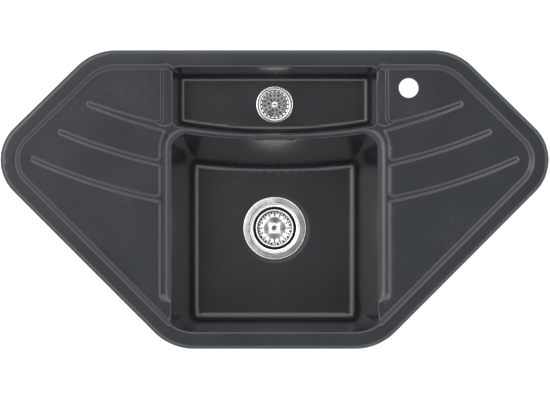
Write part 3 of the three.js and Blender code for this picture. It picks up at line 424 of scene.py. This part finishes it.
def triangulate(points, loops):
    """Delaunay triangles of the points, with the loops' edges among theirs."""
    verts = np.concatenate([*loops, points])
    constraint, start = [], 0
    for loop in loops:
        count = len(loop)
        constraint += [(start + k, start + (k + 1) % count) for k in range(count)]
        start += count
    result = delaunay_2d_cdt([Vector(p) for p in verts], constraint, [], 0, 1e-7)
    flat = np.array([tuple(v) for v in result[0]])
    triangles = np.array([tuple(f) for f in result[2]])
    return flat, triangles


def patch(height, loops, box, inside, size, smallest, turn, clear, extra=()):
    """Height-field surface bounded by loops. inside(x, y) is positive within the region."""
    points = np.concatenate([leaf_points(height, box, size, smallest, turn), *extra])
    room = inside(points[:, 0], points[:, 1])
    flat, triangles = triangulate(points[room > clear], loops)
    middle = flat[triangles].mean(1)
    triangles = triangles[inside(middle[:, 0], middle[:, 1]) > 1e-3]
    z = height(flat[:, 0], flat[:, 1])
    return np.column_stack([flat, z]), triangles


def strip(loops):
    """Quads between loops of equal count; each loop is an array of 3-D points."""
    count = len(loops[0])
    verts = np.concatenate(loops)
    faces = []
    for k in range(len(loops) - 1):
        a = k * count + np.arange(count)
        b = k * count + (np.arange(count) + 1) % count
        faces.append(np.column_stack([a, b, b + count, a + count]))
    return verts, np.concatenate(faces)


def at_height(loop, z):
    return np.column_stack([loop, np.full(len(loop), z) if np.isscalar(z) else z])


def build(name, parts, sharp=None):
    """One smooth-shaded object, in metres, from (vertices, faces) parts welded together."""
    mesh = bpy.data.meshes.new(name)
    verts, faces, start = [], [], 0
    for part_verts, part_faces in parts:
        verts.append(np.asarray(part_verts, float) * MM)
        faces += [[int(v) + start for v in face] for face in part_faces]
        start += len(part_verts)
    mesh.from_pydata(np.concatenate(verts).tolist(), [], faces)
    work = bmesh.new()
    work.from_mesh(mesh)
    bmesh.ops.remove_doubles(work, verts=work.verts, dist=2e-6)
    loose = [v for v in work.verts if not v.link_faces]
    bmesh.ops.delete(work, geom=loose, context="VERTS")
    bmesh.ops.recalc_face_normals(work, faces=work.faces)
    work.to_mesh(mesh)
    work.free()
    mesh.shade_smooth()
    if sharp:
        mesh.set_sharp_from_angle(angle=math.radians(sharp))
    thing = bpy.data.objects.new(name, mesh)
    scene.collection.objects.link(thing)
    return thing


def even_normals(thing, height):
    """Weighs normals by area on the upward faces of a height field, so that flats stay flat."""
    mesh = thing.data
    place = np.empty(len(mesh.vertices) * 3)
    mesh.vertices.foreach_get("co", place)
    x, y, z = (place.reshape(-1, 3) / MM).T
    on_field = np.abs(z - height(x, y)) < 0.01
    corners = np.empty(len(mesh.loops), int)
    mesh.loops.foreach_get("vertex_index", corners)
    count = len(mesh.polygons)
    starts, totals = np.empty(count, int), np.empty(count, int)
    mesh.polygons.foreach_get("loop_start", starts)
    mesh.polygons.foreach_get("loop_total", totals)
    facing, areas = np.empty(count * 3), np.empty(count)
    mesh.polygons.foreach_get("normal", facing)
    mesh.polygons.foreach_get("area", areas)
    facing = facing.reshape(-1, 3)
    whole = np.logical_and.reduceat(on_field[corners], starts) & (facing[:, 2] > 0)
    chosen = np.repeat(whole, totals)
    weighed = np.repeat(facing * areas[:, None], totals, axis=0)
    sums = np.zeros((len(x), 3))
    np.add.at(sums, corners[chosen], weighed[chosen])
    sums /= np.maximum(np.linalg.norm(sums, axis=1), 1e-20)[:, None]
    mesh.normals_split_custom_set(np.where(chosen[:, None], sums[corners], 0.0).tolist())


# ---------------------------------------------------------------- sink body

# Inset where the height field of the top gives way to rings down the rounded edge
START_INSET = 2.1
UNDER_INSET = 1.0
OUTLINE_SPACING = 2.5
BODY_BOX = (-490.0, -268.0, 490.0, 268.0)
DISH_RINGS = (1.2, 2.5, 3.8, 5.2, 6.6, 8.2, 10.0, 13.0)
EDGE_INSETS = (START_INSET, 1.2, 0.55, 0.15, 0.0)
TAP_ROUND = 0.9


def outside_holes(inset_from, centres):
    """Function that is positive inside the outline's inset and outside all the holes."""
    def inside(x, y):
        room = inset(x, y) - inset_from
        for cx, cy, radius in centres:
            room = np.minimum(room, np.hypot(x - cx, y - cy) - radius)
        return room

    return inside


def tongue_lines():
    """Points along both steps of each tongue, so that neither side misses one."""
    along = np.arange(110.0, 222.0, 3.0)
    return [
        np.column_stack([np.full(len(along), side * (LEDGE_END + step + d)), along])
        for side in (-1, 1) for step in (-TONGUE_STEP, TONGUE_STEP) for d in (-0.6, -0.2, 0.2, 0.6)
    ]


def sink_body():
    centres = [
        (TAP_X, TAP_Y, TAP_RADIUS + TAP_ROUND),
        (0, MAIN_Y, MAIN_SEAT),
        (0, HALF_Y, HALF_SEAT),
    ]
    counts = (72, 160, 100)
    outer = outline_loop(START_INSET, OUTLINE_SPACING)
    holes = [circle_loop(cx, cy, r, n) for (cx, cy, r), n in zip(centres, counts)]
    dish = [circle_loop(0, MAIN_Y, MAIN_SEAT + d, 100) for d in DISH_RINGS]
    top = patch(
        top_height, [outer, *holes], BODY_BOX, outside_holes(START_INSET, centres),
        size=16.0, smallest=0.5, turn=0.268, clear=0.45, extra=[*dish, *tongue_lines()],
    )

    under_radii = (TAP_RADIUS, MAIN_HOLE, HALF_HOLE)
    under_centres = [(cx, cy, r) for (cx, cy, _), r in zip(centres, under_radii)]
    under_loop = outline_loop(UNDER_INSET, OUTLINE_SPACING)
    under_holes = [circle_loop(cx, cy, r, n) for (cx, cy, r), n in zip(under_centres, counts)]
    inside_under = outside_holes(UNDER_INSET, under_centres)
    under = patch(
        under_height, [under_loop, *under_holes], BODY_BOX, inside_under,
        size=16.0, smallest=2.0, turn=0.6, clear=0.9,
    )

    rings = []
    for depth in EDGE_INSETS:
        loop = outline_loop(depth, OUTLINE_SPACING)
        lean = (EDGE_WIDTH - depth) / EDGE_WIDTH
        z = RIM_TOP - EDGE_HEIGHT * (1 - math.sqrt(max(1 - lean**2, 0)))
        if depth == START_INSET:
            z = top_height(loop[:, 0], loop[:, 1])
        rings.append(at_height(loop, z))
    for depth, z in ((0.0, 3.0), (0.0, 0.6), (0.3, 0.1)):
        rings.append(at_height(outline_loop(depth, OUTLINE_SPACING), z))
    rings.append(at_height(under_loop, under_height(under_loop[:, 0], under_loop[:, 1])))

    bores = []
    for (cx, cy, r_top), (_, _, r_under), n in zip(centres, under_centres, counts):
        wide, narrow = circle_loop(cx, cy, r_top, n), circle_loop(cx, cy, r_under, n)
        z_top = top_height(wide[:, 0], wide[:, 1])
        z_low = under_height(narrow[:, 0], narrow[:, 1])
        if cx == TAP_X:
            bend = circle_loop(cx, cy, r_under + 0.27, n)
            between = [at_height(bend, z_top - 0.2), at_height(narrow, z_top - TAP_ROUND)]
        else:
            floor_z, wall = z_top.mean(), circle_loop(cx, cy, r_top - 0.3, n)
            seat_z = floor_z - SEAT_DEPTH
            between = [at_height(wall, floor_z - 0.4), at_height(wall, seat_z)]
            between.append(at_height(narrow, seat_z))
        bores.append(strip([at_height(wide, z_top), *between, at_height(narrow, z_low)]))
    body = build("composite_sink", [top, under, strip(rings), *bores], sharp=50)
    even_normals(body, top_height)
    return body


# ---------------------------------------------------------------- pressed steel

def inside_polygon(x, y, loop):
    """Signed distance to a convex anticlockwise loop, positive inside."""
    room = np.full(np.shape(x), 1e9)
    for a, b in zip(loop, np.roll(loop, -1, axis=0)):
        along = (b - a) / np.linalg.norm(b - a)
        room = np.minimum(room, (y - a[1]) * along[0] - (x - a[0]) * along[1])
    return room


def oblong(radius, length, width, angle, steps=7):
    """Radial slot with rounded ends, centred at radius."""
    half, r = length / 2 - width / 2, width / 2
    turn = np.linspace(-math.pi / 2, math.pi / 2, steps)
    outer = np.column_stack([half + r * np.cos(turn), r * np.sin(turn)])
    loop = np.concatenate([outer, -outer]) + (radius, 0)
    c, s = math.cos(angle), math.sin(angle)
    return loop @ np.array([[c, s], [-s, c]])


def hole_ring(radius, hole, angles, count):
    """Round holes about the axis, each a loop of count points."""
    return [circle_loop(radius * math.cos(a), radius * math.sin(a), hole, count) for a in angles]


def wedge_slot(inner, outer, inner_half, outer_half, angle, corner=0.8, steps=4):
    """Radial slot that widens outwards, its corners rounded."""
    sharp = np.array([
        [inner, -inner_half], [outer, -outer_half], [outer, outer_half], [inner, inner_half],
    ])
    points = []
    for i, p in enumerate(sharp):
        before, after = sharp[i - 1] - p, sharp[(i + 1) % 4] - p
        before, after = before / np.linalg.norm(before), after / np.linalg.norm(after)
        for t in np.linspace(0, 1, steps):
            points.append(p + before * corner * (1 - t) ** 2 + after * corner * t**2)
    c, s = math.cos(angle), math.sin(angle)
    return np.array(points) @ np.array([[c, s], [-s, c]])


def sheet_disc(profile, thickness, rim_count, holes, centre_radius, smallest=0.5, turn=0.16):
    """Parts of a pressed disc: top, underside, and the walls of its rim, holes and centre."""
    radii, heights = np.array(profile).T
    rim = radii[-1]

    def top(x, y):
        return np.interp(np.hypot(x, y), radii, heights)

    def under(x, y):
        return top(x, y) - thickness

    def inside(x, y):
        room = rim - np.hypot(x, y)
        for loop in holes:
            room = np.minimum(room, -inside_polygon(x, y, loop))
        if centre_radius:
            room = np.minimum(room, np.hypot(x, y) - centre_radius)
        return room

    loops = [circle_loop(0, 0, rim, rim_count), *holes]
    if centre_radius:
        loops.append(circle_loop(0, 0, centre_radius, 32))
    box = (-rim - 1, -rim - 1, rim + 1, rim + 1)
    parts = [
        patch(top, loops, box, inside, 4.0, smallest, turn, 0.22),
        patch(under, loops, box, inside, 4.0, smallest * 2, turn * 2, 0.3),
    ]
    for loop in loops:
        upper = at_height(loop, top(loop[:, 0], loop[:, 1]))
        lower = at_height(loop, under(loop[:, 0], loop[:, 1]))
        parts.append(strip([upper, lower]))
    return parts


def rounded_profile(points, radii, steps=5):
    """A line of [radius, height] points with its corners rounded."""
    points = [np.array(p, float) for p in points]
    line = [points[0]]
    for i in range(1, len(points) - 1):
        p, r = points[i], radii[i - 1]
        before, after = points[i - 1] - p, points[i + 1] - p
        reach = min(r, np.linalg.norm(before) * 0.48, np.linalg.norm(after) * 0.48)
        a = p + before / np.linalg.norm(before) * reach
        b = p + after / np.linalg.norm(after) * reach
        for t in np.linspace(0, 1, steps):
            line.append((1 - t) ** 2 * a + 2 * t * (1 - t) * p + t**2 * b)
    line.append(points[-1])
    return line


def turned(profile, count):
    """Quads of a profile turned about the z axis; points on the axis become one point."""
    loops = [at_height(circle_loop(0, 0, max(r, 1e-4), count), z) for r, z in profile]
    return strip(loops)


def moved(parts, x, y, z):
    return [(np.asarray(verts) + (x, y, z), faces) for verts, faces in parts]


MAIN_AT = (0.0, MAIN_Y, MAIN_FLOOR_Z)
HALF_AT = (0.0, HALF_Y, HALF_FLOOR_Z)


def main_flange():
    line = rounded_profile(
        [(57.0, -1.15), (57.0, -0.6), (56.3, -0.38), (47.2, 0.0), (44.4, -0.1), (43.4, -1.6),
         (43.4, -8.0), (39.5, -8.35), (36.6, -24.0), (30.0, -30.0), (28.6, -38.0), (16.0, -38.6)],
        [0.4, 0.4, 1.5, 0.9, 0.9, 1.2, 0.9, 2.0, 2.0, 2.2, 1.0],
    )
    back = rounded_profile(
        [(57.0, -1.15), (45.4, -1.4), (44.6, -2.0), (44.6, -9.2), (40.6, -9.4), (37.8, -24.6),
         (31.2, -30.6), (29.8, -39.2), (16.0, -39.2)],
        [1.0, 0.8, 1.4, 1.0, 2.0, 2.0, 2.0],
    )
    count = 144
    floor_holes = hole_ring(18.25, 4.5, [math.pi / 3 * k for k in range(6)], 20)
    floor_top = [(3.35, -38.0), (12.0, -38.0), (26.0, -38.0)]
    wall = [p for p in line if p[0] > 27.0 or p[1] > -37.5]
    wall.append(np.array([26.0, -38.0]))
    under = [p for p in back if p[0] > 27.0]
    under.append(np.array([26.0, -39.2]))
    disc = sheet_disc(floor_top, 1.2, count, floor_holes, 3.35, smallest=2.0)
    parts = [turned(wall, count), turned(under, count), *disc[:2], *disc[3:]]
    return build("strainer_flange", moved(parts, *MAIN_AT), sharp=40)


def basket_cup():
    profile = rounded_profile(
        [(3.35, -15.0), (7.5, -15.0), (14.0, -17.6), (20.6, -20.9), (23.7, -21.9), (26.6, -20.8),
         (31.6, -9.4), (32.6, -8.15), (33.6, -8.0), (34.35, -8.35)],
        [1.0, 4.0, 3.0, 1.6, 1.6, 1.5, 0.6, 0.5],
    )
    angles = [2 * math.pi * k / 16 for k in range(16)]
    holes = hole_ring(23.7, 1.7, angles, 16)
    slots = [wedge_slot(27.2, 31.2, 1.5, 2.6, math.pi / 16 + a) for a in angles]
    parts = sheet_disc(profile, 1.0, 192, [*holes, *slots], 3.35, smallest=0.5, turn=0.2)
    return build("strainer_basket", moved(parts, *MAIN_AT), sharp=40)


def basket_knob():
    base = -14.9
    line = rounded_profile(
        [(3.35, base), (4.5, base), (4.5, base + 3.1), (7.5, base + 5.6), (7.5, base + 8.0),
         (6.2, base + 9.0), (4.2, base + 8.75), (0.0, base + 8.6)],
        [0.6, 1.5, 1.2, 1.2, 1.0, 1.0],
    )
    socket = [(3.35, base), (3.35, base + 4.6), (0.0, base + 4.6)]
    parts = [turned(line, 64), turned(socket, 64)]
    return build("strainer_knob", moved(parts, *MAIN_AT), sharp=35)


def grid_plate():
    profile = rounded_profile(
        [(2.85, -2.6), (8.0, -2.6), (24.6, -2.6), (26.4, -0.6), (27.4, 0.0), (31.9, 0.0),
         (32.5, -0.2)],
        [2.0, 1.2, 1.0, 0.8, 0.5],
    )
    outer, middle, inner = (
        [2 * math.pi * k / count + math.pi / 2 for k in range(count)] for count in (20, 15, 9)
    )
    holes = [oblong(23.4, 4.2, 3.1, angle) for angle in outer]
    holes += hole_ring(17.4, 2.0, middle, 18) + hole_ring(10.2, 1.85, inner, 18)
    parts = sheet_disc(profile, 1.2, 144, holes, 2.85, smallest=0.6, turn=0.2)
    return build("grid_disc", moved(parts, *HALF_AT), sharp=40)


def grid_screw():
    seat = -2.5
    dome = [seat + 2.2, seat + 2.05, seat + 1.65, seat + 1.2]

    def top(x, y):
        plain = np.interp(np.hypot(x, y), [0, 3.2, 4.6, 5.1], dome)
        slot = smooth(0.85, 0.6, np.abs(y))
        return plain - slot * (plain - (seat + 1.0)) * smooth(5.3, 5.0, np.abs(x))

    def inside(x, y):
        return 5.1 - np.hypot(x, y)

    loop = circle_loop(0, 0, 5.1, 48)
    cap = patch(top, [loop], (-6, -6, 6, 6), inside, 2.0, 0.25, 0.2, 0.12)
    shank_end = seat - 30.0
    profile = [(5.25, seat + 0.8), (5.05, seat), (2.5, seat), (2.5, shank_end), (1e-4, shank_end)]
    rings = [at_height(circle_loop(0, 0, radius, 48), z) for radius, z in profile]
    side = strip([at_height(loop, top(loop[:, 0], loop[:, 1])), *rings])
    return build("grid_centre_screw", moved([cap, side], *HALF_AT), sharp=35)


# ---------------------------------------------------------------- materials

MAP_SOCKETS = ("From Min", "From Max", "To Min", "To Max")


class Nodes:
    """A Principled material and short calls for the nodes that feed it."""

    def __init__(self, name):
        self.material = bpy.data.materials.new(name)
        self.material.use_nodes = True
        self.tree = self.material.node_tree
        self.shader = self.tree.nodes["Principled BSDF"]
        self.place = self.add("ShaderNodeTexCoord").outputs["Object"]

    def add(self, kind, **values):
        node = self.tree.nodes.new(kind)
        for key, value in values.items():
            setattr(node, key, value)
        return node

    def link(self, source, target):
        self.tree.links.new(source, target)

    def noise(self, scale, detail=3.0, rough=0.5, vector=None, distortion=0.0):
        node = self.add("ShaderNodeTexNoise")
        node.inputs["Scale"].default_value = scale
        node.inputs["Detail"].default_value = detail
        node.inputs["Roughness"].default_value = rough
        node.inputs["Distortion"].default_value = distortion
        self.link(vector or self.place, node.inputs["Vector"])
        return node.outputs["Fac"]

    def cells(self, scale):
        node = self.add("ShaderNodeTexVoronoi")
        node.inputs["Scale"].default_value = scale
        self.link(self.place, node.inputs["Vector"])
        return node.outputs["Distance"]

    def range(self, value, from_low, from_high, to_low, to_high):
        node = self.add("ShaderNodeMapRange")
        node.clamp = True
        for key, number in zip(MAP_SOCKETS, (from_low, from_high, to_low, to_high)):
            node.inputs[key].default_value = number
        self.link(value, node.inputs["Value"])
        return node.outputs["Result"]

    def math(self, kind, a, b=0.0):
        node = self.add("ShaderNodeMath", operation=kind)
        for socket, value in zip(node.inputs, (a, b)):
            if isinstance(value, (int, float)):
                socket.default_value = value
            else:
                self.link(value, socket)
        return node.outputs[0]

    def mix(self, share, a, b):
        node = self.add("ShaderNodeMix", data_type="RGBA")
        self.link(share, node.inputs[0])
        for socket, value in ((node.inputs[6], a), (node.inputs[7], b)):
            if isinstance(value, tuple):
                socket.default_value = (*value, 1)
            else:
                self.link(value, socket)
        return node.outputs[2]

    def bump(self, height, strength, distance, normal=None):
        node = self.add("ShaderNodeBump")
        node.inputs["Strength"].default_value = strength
        node.inputs["Distance"].default_value = distance
        self.link(height, node.inputs["Height"])
        if normal:
            self.link(normal, node.inputs["Normal"])
        return node.outputs["Normal"]

    def about(self, x, y, z):
        """Place relative to a point in millimetres."""
        node = self.add("ShaderNodeVectorMath", operation="SUBTRACT")
        self.link(self.place, node.inputs[0])
        node.inputs[1].default_value = (x * MM, y * MM, z * MM)
        return node.outputs[0]

    def rings(self, vector):
        """Vector that varies with the distance from the z axis only, for turned brushing."""
        flat = self.add("ShaderNodeVectorMath", operation="MULTIPLY")
        flat.inputs[1].default_value = (1, 1, 0)
        self.link(vector, flat.inputs[0])
        length = self.add("ShaderNodeVectorMath", operation="LENGTH")
        self.link(flat.outputs[0], length.inputs[0])
        join = self.add("ShaderNodeCombineXYZ")
        self.link(length.outputs["Value"], join.inputs[0])
        return join.outputs[0]

    def set(self, **values):
        for key, value in values.items():
            socket = self.shader.inputs[key.replace("_", " ")]
            if isinstance(value, tuple):
                socket.default_value = (*value, 1) if len(value) == 3 else value
            elif isinstance(value, (int, float)):
                socket.default_value = value
            else:
                self.link(value, socket)
        return self.material


def composite_material():
    """Graphite composite: dark resin with fine mineral grain in it, moulded to a satin skin."""
    n = Nodes("graphite composite")
    warped = n.noise(9.0, 4.0, 0.55)
    grain = n.noise(1500.0, 3.0, 0.7)
    fleck = n.cells(900.0)
    dark, light = (0.0114, 0.0133, 0.0151), (0.0171, 0.0200, 0.0227)
    mineral, cloudy = (0.043, 0.049, 0.053), (0.0188, 0.0219, 0.0248)
    colour = n.mix(n.range(grain, 0.35, 0.68, 0, 1), dark, light)
    colour = n.mix(n.range(fleck, 0.10, 0.19, 0.20, 0.0), colour, mineral)
    colour = n.mix(n.range(warped, 0.35, 0.7, 0.0, 0.25), colour, cloudy)
    skin = n.noise(420.0, 2.0, 0.5)
    broad, fine = n.range(warped, 0.3, 0.7, 0.22, 0.26), n.range(skin, 0.3, 0.7, -0.02, 0.03)
    rough = n.math("ADD", broad, fine)
    normal = n.bump(grain, 0.04, 0.0001)
    normal = n.bump(skin, 0.03, 0.0003, normal)
    return n.set(Base_Color=colour, Roughness=rough, Normal=normal, Specular_IOR_Level=0.5)


def turned_steel(name, centre, rough, tone=(0.80, 0.80, 0.79), brush=0.05):
    """Stainless steel pressed and turned, with fine rings of brushing about its axis."""
    n = Nodes(name)
    rings = n.rings(n.about(*centre))
    fine = n.noise(5200.0, 3.0, 0.6, rings)
    broad = n.noise(900.0, 2.0, 0.5, rings)
    smear = n.noise(45.0, 3.0, 0.6, distortion=0.6)
    colour = n.mix(n.range(smear, 0.35, 0.7, 0, 1), tone, tuple(c * 0.90 for c in tone))
    worn = n.range(smear, 0.3, 0.7, rough - 0.03, rough + 0.06)
    roughness = n.math("ADD", worn, n.range(fine, 0.3, 0.7, -0.03, 0.05))
    normal = n.bump(fine, brush, 0.0002)
    normal = n.bump(broad, brush * 0.6, 0.0004, normal)
    return n.set(Base_Color=colour, Metallic=1.0, Roughness=roughness, Normal=normal)


def plain_steel():
    """Drawn and bent steel of the clips and screws: dull, lightly scratched."""
    n = Nodes("bent steel")
    scratch = n.noise(700.0, 4.0, 0.7, distortion=1.5)
    cloud = n.noise(60.0, 3.0, 0.6)
    colour = n.mix(n.range(cloud, 0.35, 0.7, 0, 1), (0.62, 0.63, 0.64), (0.52, 0.53, 0.54))
    dull = n.range(cloud, 0.3, 0.7, 0.28, 0.38)
    roughness = n.math("ADD", dull, n.range(scratch, 0.4, 0.7, 0.0, 0.10))
    normal = n.bump(scratch, 0.12, 0.0002)
    return n.set(Base_Color=colour, Metallic=1.0, Roughness=roughness, Normal=normal)


def rubber_material():
    """Black rubber of the seals, with a grey bloom and fine pores."""
    n = Nodes("black rubber")
    bloom = n.noise(180.0, 4.0, 0.6)
    pores = n.noise(2400.0, 2.0, 0.6)
    colour = n.mix(n.range(bloom, 0.4, 0.75, 0, 0.6), (0.012, 0.012, 0.013), (0.035, 0.035, 0.036))
    roughness = n.range(bloom, 0.3, 0.7, 0.62, 0.80)
    return n.set(Base_Color=colour, Roughness=roughness, Normal=n.bump(pores, 0.15, 0.0002))


def plastic_material():
    """Semi-gloss white moulding with faint flow marks and a fine eroded skin."""
    n = Nodes("white moulding")
    flow = n.noise(26.0, 3.0, 0.5, distortion=1.2)
    skin = n.noise(1600.0, 2.0, 0.6)
    colour = n.mix(n.range(flow, 0.35, 0.7, 0, 1), (0.78, 0.78, 0.75), (0.70, 0.70, 0.665))
    gloss = n.range(flow, 0.3, 0.7, 0.30, 0.40)
    roughness = n.math("ADD", gloss, n.range(skin, 0.3, 0.7, -0.02, 0.04))
    normal = n.bump(skin, 0.06, 0.0002)
    return n.set(Base_Color=colour, Roughness=roughness, Normal=normal, Subsurface_Weight=0.04)


def floor_material():
    n = Nodes("pale floor")
    tone = n.noise(1.3, 2.0, 0.5)
    colour = n.mix(n.range(tone, 0.3, 0.7, 0, 1), (0.92, 0.92, 0.92), (0.90, 0.90, 0.90))
    return n.set(Base_Color=colour, Roughness=0.9, Specular_IOR_Level=0.1)


def dress(thing, material):
    thing.data.materials.clear()
    thing.data.materials.append(material)


def dress_node(name, material):
    thing = bpy.data.objects[name]
    if not thing.material_slots:
        thing.data.materials.append(material)
    for slot in thing.material_slots:
        slot.material = material


# ---------------------------------------------------------------- light, floor and camera

# Light tent. A dark opening lies near overhead: its middle, as offsets over a unit of height, and
# the angles between which it brightens. Then the radiance of the opening, of the tent high up and
# of the tent low down, the heights between which it dims, and its shares at the front and back
HOLE_AT, HOLE_ANGLES = (0.078, -0.062), (11.0, 21.0)
TENT_HOLE, TENT_WALL, TENT_LOW = 0.04, 2.9, 1.1
TENT_DIMS = (0.88, 0.5)
TENT_FRONT, TENT_BACK = 1.0, 1.1
SOFTBOX = dict(place=(-1.5, 0.5, 2.2), size=(0.9, 1.6), radiance=2.0)

FLOOR_Z, FLOOR_HALF = -0.300, 30.0
FOCAL_LENGTH, SENSOR_WIDTH = 239.6, 36.0
CAMERA_AT = (0.00071, -0.00089, 6.512)


def softbox(name, place, size, radiance):
    """Rectangular light of a given radiance that faces the sink, unseen by the camera itself."""
    light = bpy.data.lights.new(name, "AREA")
    light.shape = "RECTANGLE"
    light.size, light.size_y = size
    light.energy = math.pi * radiance * size[0] * size[1]
    lamp = bpy.data.objects.new(name, light)
    lamp.location = place
    lamp.rotation_euler = (-Vector(place)).to_track_quat("-Z", "Y").to_euler()
    lamp.visible_camera = False
    scene.collection.objects.link(lamp)


def studio():
    """Light tent, bright but for a dark opening nearly overhead, with a softbox at the left."""
    world = bpy.data.worlds.new("studio")
    world.use_nodes = True
    tree = world.node_tree

    def add(kind, **values):
        node = tree.nodes.new(kind)
        for key, value in values.items():
            setattr(node, key, value)
        return node

    def ramp(source, from_low, from_high, to_low, to_high):
        node = add("ShaderNodeMapRange", interpolation_type="SMOOTHSTEP")
        for key, number in zip(MAP_SOCKETS, (from_low, from_high, to_low, to_high)):
            node.inputs[key].default_value = number
        tree.links.new(source, node.inputs["Value"])
        return node.outputs["Result"]

    def product(a, b):
        node = add("ShaderNodeMath", operation="MULTIPLY")
        tree.links.new(a, node.inputs[0])
        tree.links.new(b, node.inputs[1])
        return node.outputs[0]

    place = add("ShaderNodeTexCoord").outputs["Generated"]
    direction = add("ShaderNodeSeparateXYZ")
    tree.links.new(place, direction.inputs[0])
    towards_hole = add("ShaderNodeVectorMath", operation="DOT_PRODUCT")
    tree.links.new(place, towards_hole.inputs[0])
    towards_hole.inputs[1].default_value = Vector((*HOLE_AT, 1.0)).normalized()
    near, far = (math.cos(math.radians(angle)) for angle in HOLE_ANGLES)
    opening = ramp(towards_hole.outputs["Value"], near, far, TENT_HOLE, TENT_WALL)
    height = ramp(direction.outputs["Z"], *TENT_DIMS, 1.0, TENT_LOW / TENT_WALL)
    front_to_back = ramp(direction.outputs["Y"], -0.9, 0.9, TENT_FRONT, TENT_BACK)
    background = tree.nodes["Background"]
    strength = product(product(opening, height), front_to_back)
    tree.links.new(strength, background.inputs["Strength"])
    background.inputs["Color"].default_value = (1, 1, 1, 1)
    scene.world = world
    softbox("light_left", **SOFTBOX)
    scene.view_settings.view_transform = "Standard"
    scene.view_settings.look = "None"
    scene.view_settings.exposure = 0.0
    scene.view_settings.gamma = 1.0


def floor():
    mesh = bpy.data.meshes.new("floor")
    work = bmesh.new()
    bmesh.ops.create_grid(work, x_segments=1, y_segments=1, size=FLOOR_HALF)
    work.to_mesh(mesh)
    work.free()
    thing = bpy.data.objects.new("floor", mesh)
    thing.location.z = FLOOR_Z
    scene.collection.objects.link(thing)
    dress(thing, floor_material())


def camera():
    lens = bpy.data.cameras.new("camera")
    lens.lens = FOCAL_LENGTH
    lens.sensor_width = SENSOR_WIDTH
    lens.clip_start, lens.clip_end = 0.1, 100.0
    thing = bpy.data.objects.new("camera", lens)
    thing.location = CAMERA_AT
    scene.collection.objects.link(thing)
    scene.camera = thing


camera()
studio()
floor()

composite = composite_material()
main_steel = turned_steel("strainer steel", MAIN_AT, 0.20)
basket_steel = turned_steel("basket steel", MAIN_AT, 0.16, brush=0.03)
half_steel = turned_steel("grid steel", HALF_AT, 0.18)
bent = plain_steel()
rubber = rubber_material()
plastic = plastic_material()

SLOT_MATERIAL = {
    "composite": composite, "steel": bent, "rubber": rubber, "waste_plastic": plastic,
}
for part in frame["record"]["subparts"]:
    dress_node(part["node"], SLOT_MATERIAL[part["material_slot"]])
for name in ("main_clamp_screw", "basket_stem", "basket_seal_washer"):
    dress_node(name, main_steel)

PIECES = [
    (sink_body(), "sink", "sink_body", "composite", composite),
    (main_flange(), "sink", "main_flange", "steel", main_steel),
    (basket_cup(), "basket", "basket_cup", "steel", basket_steel),
    (basket_knob(), "basket", "basket_knob", "steel", basket_steel),
    (grid_plate(), "sink", "grid_plate", "steel", half_steel),
    (grid_screw(), "sink", "grid_screw", "steel", half_steel),
]
for piece, carrier, node, slot, material in PIECES:
    dress(piece, material)
    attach(piece, carrier)
    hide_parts(node)
